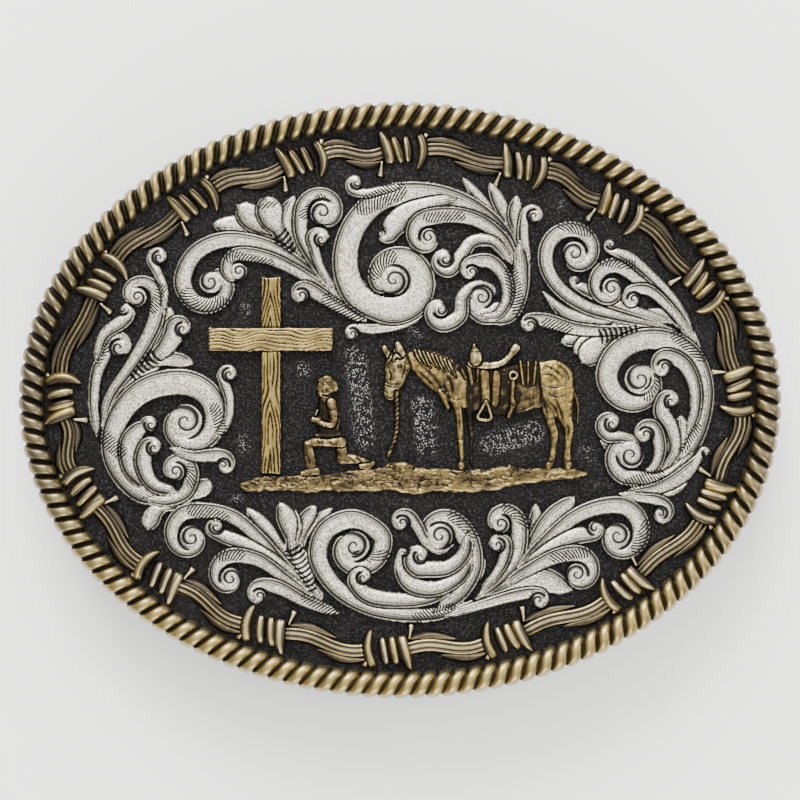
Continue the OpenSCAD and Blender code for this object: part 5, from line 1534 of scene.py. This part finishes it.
def rider_relief():
    """Limbs from the back forward: x, y, width, height in each row."""
    rider = Relief((-14.4, -10.8, -2.0, 4.2), RIDER_STEP)
    # the kneeling leg and its boot, behind
    limb(rider, [[-8.2, -5.0, 2.0, 0.85], [-7.75, -6.4, 1.6, 0.88], [-7.6, -7.6, 1.45, 0.88]],
         dark=0.26, fine=0.4)
    limb(rider, [[-7.7, -7.85, 1.45, 0.88], [-6.3, -7.8, 1.35, 0.85], [-5.0, -8.05, 1.05, 0.8],
                 [-4.2, -8.3, 0.8, 0.75]], dark=0.12, fine=0.5)
    limb(rider, [[-5.2, -8.75, 0.9, 0.7], [-4.2, -8.75, 1.0, 0.75], [-3.5, -8.35, 0.75, 0.8]],
         over=True, dark=0.10, fine=0.5)
    # the trunk in a dark vest, and a shirt sleeve's edge at the back
    limb(rider, [[-9.8, 0.0, 1.9, 1.0], [-9.8, -1.3, 2.5, 1.08], [-9.7, -3.0, 2.6, 1.0],
                 [-9.3, -4.4, 2.9, 0.98]], dark=0.62)
    limb(rider, [[-8.45, -0.4, 0.6, 1.05], [-8.25, -2.0, 0.7, 1.08], [-8.3, -3.6, 0.7, 1.0]], soft=0.2,
         dark=0.15, fine=0.4)
    limb(rider, [[-11.0, -4.7, 0.8, 1.0], [-9.4, -4.85, 0.9, 1.1], [-7.9, -4.7, 0.8, 0.95]], soft=0.15,
         dark=0.60)
    # the raised thigh, the shin and the boot, run together as one trouser leg
    limb(rider, [[-7.75, -5.6, 1.6, 1.05], [-9.6, -5.65, 1.25, 1.15], [-11.4, -5.6, 1.35, 1.15],
                 [-12.2, -5.9, 1.35, 1.15]], over=True, dark=0.08, fine=0.6)
    limb(rider, [[-12.15, -6.1, 1.45, 1.12], [-11.95, -7.4, 1.65, 1.08], [-11.8, -8.8, 1.6, 1.0]],
         soft=0.3, dark=0.18, fine=0.5)
    limb(rider, [[-11.0, -9.45, 1.2, 0.95], [-12.0, -9.55, 1.2, 0.95], [-13.0, -9.75, 0.75, 0.9]],
         soft=0.2, dark=0.20, fine=0.4)
    # neck and collar, then head: a ball for the skull, and the face of an even profile
    limb(rider, [[-9.75, 0.9, 1.3, 1.05], [-9.7, 0.2, 1.7, 1.1]], dark=0.12, fine=0.4)
    limb(rider, [[-9.5, 1.85, 2.4, 1.32], [-9.75, 1.6, 2.2, 1.28]], over=True, dark=0.10, fine=0.5)
    limb(rider, [[-10.62, 2.0, 0.80, 1.24], [-10.66, 1.3, 0.82, 1.2], [-10.5, 0.72, 0.75, 1.15]],
         soft=0.12, dark=0.06, fine=0.5)
    limb(rider, [[-10.95, 1.62, 0.34, 1.15], [-11.12, 1.46, 0.24, 1.1]], soft=0.10, dark=0.04, fine=0.5)
    # short hair combed back
    limb(rider, [[-10.55, 2.55, 0.9, 1.34], [-9.7, 2.75, 1.3, 1.42], [-8.9, 2.25, 1.3, 1.36],
                 [-8.55, 1.5, 1.1, 1.28]], soft=0.10, dark=0.04, fine=0.75)
    for k in range(4):
        lock = [[-10.9 + 0.25 * k, 2.3 + 0.18 * k], [-9.9 + 0.3 * k, 2.35 + 0.16 * k]]
        score(rider, lock + [[-9.0 + 0.25 * k, 1.7 + 0.12 * k]], 0.06, 0.08, 0.6)
    score(rider, [[-10.80, 1.62], [-10.5, 1.66]], 0.09, 0.08, 0.85)
    score(rider, [[-10.92, 1.12], [-10.62, 1.10]], 0.06, 0.06, 0.6)
    score(rider, [[-9.85, 1.55], [-9.65, 1.30], [-9.8, 1.05]], 0.08, 0.08, 0.7)
    # one arm from the shoulder over the elbow, and the joined hands
    limb(rider, [[-9.05, -0.35, 1.5, 1.30], [-8.8, -1.6, 1.35, 1.38], [-8.75, -2.75, 1.2, 1.36],
                 [-9.0, -3.3, 1.05, 1.36], [-9.9, -3.25, 0.95, 1.36], [-10.7, -2.95, 0.9, 1.32]],
         over=True, dark=0.06, fine=0.5)
    limb(rider, [[-10.8, -2.75, 1.05, 1.34], [-11.5, -2.55, 0.85, 1.25]], soft=0.10, dark=0.0,
         fine=0.75)
    limb(rider, [[-11.15, -1.9, 0.5, 1.2], [-10.9, -1.35, 0.42, 1.15]], over=True, dark=0.0, fine=0.75)
    score_all(rider, ([[-11.1, -4.35], [-9.6, -4.5], [-8.1, -4.35]],
                      [[-9.5, -1.0], [-9.1, -1.4], [-8.5, -1.2]],
                      [[-9.4, -2.2], [-9.0, -2.5], [-8.4, -2.2]],
                      [[-12.6, -8.9], [-11.9, -9.1], [-11.1, -8.9]],
                      [[-11.9, -6.0], [-11.3, -6.5], [-11.2, -7.6]],
                      [[-12.6, -7.2], [-12.1, -7.6], [-12.0, -8.4]],
                      [[-6.9, -7.5], [-6.3, -7.9], [-6.0, -8.3]],
                      [[-5.8, -7.6], [-5.3, -7.95], [-5.1, -8.3]],
                      [[-9.4, -5.5], [-8.8, -5.9], [-8.2, -5.6]],
                      [[-11.0, -5.2], [-10.6, -5.7], [-10.0, -5.4]]), 0.10, 0.09, 0.6)
    hammered(rider, 61, 0.03, 0.16)
    settle_patina(rider, 6, 2.0)
    # the rider is darker than the rest, with less rubbed metal and painted highlight
    darken(rider, 0.11 * (rider.edge > 0))
    rider.numbers["fine"] *= 0.7
    return rider


# %% [markdown]
# The horse waits with its head low and its lead rope on the ground. It is built from the far
# side to the near one, so that each limb hides what is behind it, as on the casting.

# %% The horse's body
def horse_body(horse):
    """Limbs of x, y, width, height: tail, far legs, trunk, neck, rump and near legs."""
    # the thin tail, then the far legs, in shade
    limb(horse, [[23.1, 1.0, 0.5, 0.6], [23.55, -0.8, 0.4, 0.5], [23.5, -3.1, 0.24, 0.45]], dark=0.2)
    limb(horse, [[19.5, 0.2, 2.6, 0.85], [19.9, -2.6, 1.35, 0.75], [20.45, -4.6, 1.15, 0.7],
                 [20.3, -6.5, 0.88, 0.65], [19.95, -8.3, 0.95, 0.66], [19.7, -8.7, 1.0, 0.66]],
         dark=0.10)
    limb(horse, [[9.2, -1.5, 1.2, 0.7], [9.4, -4.8, 0.55, 0.55], [9.4, -7.4, 0.42, 0.5],
                 [9.45, -8.3, 0.6, 0.5]], dark=0.60)
    # trunk, neck, rump and near legs
    limb(horse, [[8.3, 1.6, 5.2, 1.08], [13.0, 1.2, 6.2, 1.12], [17.5, 1.9, 6.2, 1.12],
                 [20.3, 2.6, 5.4, 1.12]], low=0.55)
    limb(horse, [[8.2, 1.7, 5.0, 1.12], [5.2, 3.6, 4.7, 1.08], [3.0, 4.9, 3.7, 1.02],
                 [1.9, 5.2, 2.6, 0.95]], low=0.6)
    limb(horse, [[20.2, 2.9, 4.9, 1.20], [20.9, 1.2, 4.5, 1.30], [21.4, -0.9, 3.1, 1.22],
                 [21.95, -2.5, 1.9, 1.12], [22.4, -3.9, 1.4, 1.02], [22.25, -5.5, 1.05, 0.96],
                 [22.1, -7.1, 1.05, 0.92], [22.3, -8.7, 1.25, 0.94]], soft=0.35)
    limb(horse, [[7.0, 1.4, 2.8, 1.18], [7.55, -0.7, 1.3, 1.15], [7.85, -2.4, 1.05, 1.05],
                 [7.95, -4.3, 1.0, 1.02], [8.05, -6.0, 0.76, 0.94], [8.1, -8.0, 0.78, 0.92],
                 [8.1, -8.7, 1.15, 0.95]], soft=0.35)
    limb(horse, [[5.6, 1.0, 1.3, 1.2], [6.0, -0.2, 0.9, 1.15], [6.35, -1.0, 0.6, 1.05]], soft=0.3)


print("body ready")

# %% [markdown]
# The saddle is laid over the trunk piece by piece: blanket, fenders, straps, stirrup, seat
# and horn. What lies under it is dark, so that each strap stands out.

# %% The saddle
# Fenders, straps and strings of the saddle: from x, y to x, y, width, how dark
STRAPS = [[9.05, 4.5, 9.5, 2.2, 0.70, 0.15], [10.3, 4.3, 10.2, 2.5, 0.60, 0.3],
          [8.2, 3.9, 8.7, 2.9, 0.6, 0.35], [11.15, 3.5, 11.36, -0.1, 1.35, 0.16],
          [12.75, 3.4, 12.55, -0.5, 1.15, 0.18], [15.9, 5.05, 16.25, 2.1, 0.52, 0.0],
          [16.95, 5.0, 16.9, 2.3, 0.46, 0.0], [17.95, 5.0, 17.65, 2.1, 0.52, 0.0]]
RIGGING_RING = 14.98, 3.24, 0.47, 0.24


def saddle(horse):
    """The dark cover, then straps, stirrup and ring, then seat and horn, each over the last."""
    # what lies under the saddle is dark: one slanting front edge, one straight back edge
    x, y = horse.x, horse.y
    front = 8.7 - 1.7 * soft_step((y - 2.4) / 2.4)
    back = 18.35 - 0.10 * (y - 5)
    covered = soft_step((x - front) / 0.25 + 0.5) * soft_step((back - x) / 0.25 + 0.5) * (y > -3)
    brown = soft_step((x - 15.2) / 1.4) * soft_step((2.2 - y) / 1.2)
    darken(horse, covered * (0.66 - 0.30 * brown + 0.16 * ripple(x * 2.0, y * 0.6, 71, 0.9)))
    score(horse, [[18.3, 5.0], [18.45, 2.6], [18.75, -0.2]], 0.11, 0.2, 0.9)
    limb(horse, [[15.2, -1.75, 0.24, 1.0], [16.8, -1.35, 0.24, 1.0], [18.3, -0.6, 0.24, 0.95]],
         soft=0.1)
    # fenders, straps and strings
    for x0, y0, x1, y1, wide, shade in STRAPS:
        middle = [(x0 + x1) / 2, (y0 + y1) / 2, wide, 1.38]
        limb(horse, [[x0, y0, wide, 1.36], middle, [x1, y1, wide * 0.9, 1.34]], over=True, low=0.8,
             dark=shade)
    limb(horse, [[14.98, 2.75, 0.68, 1.36], [14.85, 1.0, 0.62, 1.38], [14.8, 0.2, 0.66, 1.38],
                 [14.95, -0.5, 0.88, 1.38], [14.75, -1.2, 0.7, 1.34], [14.35, -2.15, 0.66, 1.3]],
         over=True, low=0.8, dark=0.12)
    score(horse, [[14.75, -0.55], [14.95, -0.75], [15.15, -0.55]], 0.12, 0.15, 0.9)
    # the stirrup, pale with rubbed metal and painted highlight
    limb(horse, [[11.36, -0.1, 0.56, 1.3], [10.8, -1.2, 0.54, 1.3], [10.25, -2.35, 0.58, 1.3],
                 [11.1, -2.65, 0.56, 1.3], [12.0, -2.5, 0.58, 1.3], [11.75, -1.2, 0.54, 1.3],
                 [11.36, -0.1, 0.56, 1.3]], over=True, low=0.7, fine=0.6)
    # the rigging ring: its middle's x and y, its radius and half the width of its wire
    rx, ry, size, half = RIGGING_RING
    at = horse.around([[rx, ry]], 1.2)
    ring = half - np.abs(np.hypot(horse.x[at] - rx, horse.y[at] - ry) - size)
    lay_over(horse, at, ring, 1.42 + 0.1 * (ring / half), groove=0.1, depth=0.15, line=0.08, fine=0.5)
    # seat, cantle and horn, pale with rubbed metal and painted highlight
    limb(horse, [[9.35, 4.85, 1.05, 1.36], [10.6, 4.62, 1.15, 1.42], [12.2, 4.58, 1.10, 1.42],
                 [13.6, 4.98, 1.02, 1.42], [14.55, 5.85, 1.05, 1.42], [15.1, 6.6, 1.30, 1.44],
                 [15.35, 6.9, 1.35, 1.44]], over=True, low=0.6, fine=0.95)
    limb(horse, [[10.05, 5.30, 1.85, 1.42], [9.95, 6.05, 1.75, 1.46], [9.85, 6.7, 1.15, 1.44],
                 [9.8, 7.25, 0.60, 1.38]], over=True, low=0.6, fine=1.0)
    score(horse, [[9.3, 6.4], [9.85, 6.3], [10.4, 6.45]], 0.08, 0.10, 0.6)


print("straps:", len(STRAPS))

# %% [markdown]
# The head hangs in front of the neck. The mane could be a texture of hair, but on a casting
# it is a row of separate locks. The lead rope shows its twist as slanting cuts.

# %% Head, mane and lead rope
# The lead rope from the muzzle down: x, y, width, height
LEAD_ROPE = [[-0.45, 1.0, 0.70, 0.85], [-0.4, -1.0, 0.74, 0.75], [-0.45, -3.6, 0.74, 0.72],
             [-0.85, -5.6, 0.72, 0.7], [-1.55, -7.3, 0.70, 0.7]]


def horse_head(horse):
    """Limbs of x, y, width, height for the head; locks and cuts follow in even steps."""
    # head, cheek, muzzle and ears, pale with rubbed metal and painted highlight
    limb(horse, [[-1.3, 5.6, 1.1, 1.12], [-1.75, 6.4, 1.05, 1.16], [-2.05, 6.85, 1.0, 1.12]],
         over=True, low=0.6, fine=0.9)
    limb(horse, [[-0.15, 6.0, 2.2, 1.20], [-0.32, 4.5, 3.6, 1.28], [-0.6, 3.0, 3.0, 1.22],
                 [-1.12, 1.6, 2.3, 1.16], [-1.28, 0.9, 2.05, 1.08]], over=True, low=0.55, dark=0.12,
         fine=0.55)
    limb(horse, [[0.55, 4.4, 1.5, 1.34], [0.3, 3.6, 1.3, 1.30]], soft=0.15)
    limb(horse, [[0.15, 6.1, 1.35, 1.30], [-0.1, 6.9, 1.2, 1.32], [-0.3, 7.35, 1.0, 1.24]], over=True,
         low=0.6, fine=0.95)
    score(horse, [[-1.15, 6.9], [-1.0, 6.2], [-0.75, 5.7]], 0.20, 0.25, 0.95)
    limb(horse, [[-0.9, 5.2, 0.55, 1.34], [-0.5, 5.9, 0.60, 1.36], [0.1, 5.5, 0.5, 1.34]], over=True,
         low=0.7, fine=0.9)
    # mane: locks that fall over the crest of the neck, pale with rubbed metal and painted highlight
    for k in range(9):
        x0, y0 = 1.95 + 0.56 * k, 6.55 - 0.06 * k - 0.015 * k * k
        tip = [x0 + 1.0 + 0.1 * (k % 2), y0 - 1.9 - 0.15 * (k % 3), 0.2, 1.12]
        limb(horse, [[x0, y0, 0.50, 1.2], [x0 + 0.35, y0 - 0.8, 0.52, 1.24], tip], over=True, low=0.7,
             fine=0.85)
    # lead rope with its twist
    limb(horse, LEAD_ROPE, over=True, low=0.6, dark=0.20)
    for k in range(12):
        y0 = 0.3 - 0.62 * k
        x0 = float(np.interp(y0, *np.array(LEAD_ROPE)[::-1, 1::-1].T))
        score(horse, [[x0 - 0.4, y0 - 0.24], [x0 + 0.4, y0 + 0.22]], 0.12, 0.14, 0.9)


print("lead rope:", round(float(run_along(np.array(LEAD_ROPE))[-1]), 1), "mm")

# %% [markdown]
# Last come the lines that a chaser cuts into a casting by hand: bridle, eye and mouth, and
# soft strokes that part one muscle from the next.

# %% The whole horse
HORSE_STEP = 0.09                  # the map's step, mm


def horse_relief():
    """The horse's map: body, saddle and head, then the scored lines and the patina."""
    horse = Relief((-3.6, -10.2, 25.2, 9.0), HORSE_STEP)
    horse_body(horse)
    saddle(horse)
    horse_head(horse)
    # bridle, eye, nostril and mouth
    score_all(horse, ([[-2.2, 2.45], [-1.2, 2.1], [0.0, 2.15]],
                      [[-2.1, 2.05], [-1.2, 1.7], [-0.1, 1.75]], [[0.8, 5.4], [0.65, 4.2], [0.2, 2.6]],
                      [[-1.9, 4.6], [-0.8, 5.3], [0.5, 5.5]], [[-1.9, 0.45], [-1.3, 0.3], [-0.8, 0.5]],
                      [[-0.35, 4.5], [-0.05, 4.62], [0.25, 4.5]],
                      [[-0.3, 4.38], [-0.05, 4.3], [0.2, 4.4]], [[-1.95, 1.1], [-1.75, 0.95]],
                      [[-1.5, 3.9], [-1.2, 3.2], [-1.35, 2.5]]), 0.09, 0.12, 0.8)
    # muscles of the neck and shoulder, then of the rump and the legs
    score_all(horse, ([[2.6, 4.6], [4.2, 3.3], [5.6, 1.2]], [[6.0, 3.4], [6.8, 2.2], [7.0, 0.6]]),
              0.22, 0.14, 0.50)
    score_all(horse, ([[5.2, 1.4], [5.9, 0.9], [6.6, 0.2]], [[6.6, 0.4], [7.3, 0.0], [8.2, 0.2]],
                      [[2.2, 3.9], [3.6, 2.7], [4.6, 1.6]], [[19.2, 4.5], [20.4, 4.0], [21.6, 3.0]],
                      [[18.9, 3.3], [20.0, 3.3], [21.2, 2.2]], [[20.8, 4.7], [22.0, 3.8], [22.5, 2.4]],
                      [[18.9, 2.0], [20.4, 1.6], [21.8, 1.9]], [[19.3, 1.0], [20.6, 0.4], [21.9, 0.6]],
                      [[19.4, 0.0], [20.5, -1.2], [21.0, -2.9]],
                      [[20.6, 0.0], [21.2, -1.5], [21.6, -3.0]],
                      [[18.8, 0.6], [19.2, -0.8], [19.5, -2.0]],
                      [[22.0, -3.0], [22.3, -4.0], [22.1, -5.2]],
                      [[7.7, -1.4], [7.85, -2.8], [7.8, -4.2]],
                      [[7.7, -5.1], [8.0, -5.3], [8.35, -5.1]],
                      [[21.8, -8.0], [22.2, -8.2], [22.7, -8.0]],
                      [[7.7, -8.1], [8.1, -8.25], [8.5, -8.1]],
                      [[19.5, -8.1], [19.9, -8.25], [20.3, -8.0]]), 0.14, 0.13, 0.52)
    x, y = horse.x, horse.y
    shoulder = np.exp(-((x - 6.2) / 1.5) ** 2 - ((y - 2.0) / 1.6) ** 2)
    shoulder = shoulder * (1 + 0.8 * ripple(x, y, 74, 0.8))
    darken(horse, 0.40 * shoulder.clip(0) * (horse.edge > 0))
    hammered(horse, 63, 0.03, 0.20)
    settle_patina(horse, 6, 2.0)
    return horse


# %% [markdown]
# Cast brass, polished by hand: yellow where the cloth reaches, brown to black where it does
# not. It has a touch more yellow than the rope.

# %% Gold brass and the scene's pieces
GOLD_TONES = dict(crest=(0.245, 0.175, 0.052, 1), body=(0.082, 0.060, 0.027, 1),
                  rubbed_highlight=(0.365, 0.312, 0.170, 1), black=(0.0125, 0.0100, 0.0074, 1),
                  worn_at=0.30, black_at=(0.50, 0.85), rough=(0.30, 0.5))
gold = brass("gold_brass", **GOLD_TONES)[0]
for name, relief, node in (("timber_cross", cross, "cross"),
                           ("stony_ground", ground_relief(), "ground"),
                           ("rider", rider_relief(), "kneeling_figure"),
                           ("saddled_horse", horse_relief(), "horse")):
    piece(name, [shell(relief)], gold, "gold_brass", node)

# %% [markdown]
# The loop and the hook behind are plain plated steel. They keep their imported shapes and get
# a drawn-wire finish: fine marks along their length and a little dulling.

# %% Plain fittings
STEEL_DARK, STEEL_PALE = (0.17, 0.17, 0.165, 1), (0.30, 0.30, 0.295, 1)
DRAWN = (4.0, 0.25, 4.0)           # the marks are drawn out along y
steel, tree, shader = start_finish("plain_fitting", Metallic=1.0)
drawn = grain(tree, 900.0, 3.0, 0.6, stretch=DRAWN)
dull = grain(tree, 160.0, 3.0, 0.6)
feed(shader, Base_Color=blend_of(tree, band_of(tree, drawn, 0.3, 0.75), STEEL_DARK, STEEL_PALE),
     Roughness=band_of(tree, dull, 0.3, 0.75, 0.26, 0.44))
roughen(tree, shader, drawn, 0.00003, 0.4)
for node in ("belt_loop", "hook_post"):
    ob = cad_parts[node]
    ob.data.materials.clear()
    ob.data.materials.append(steel)
    print(node, "keeps its packed shape")
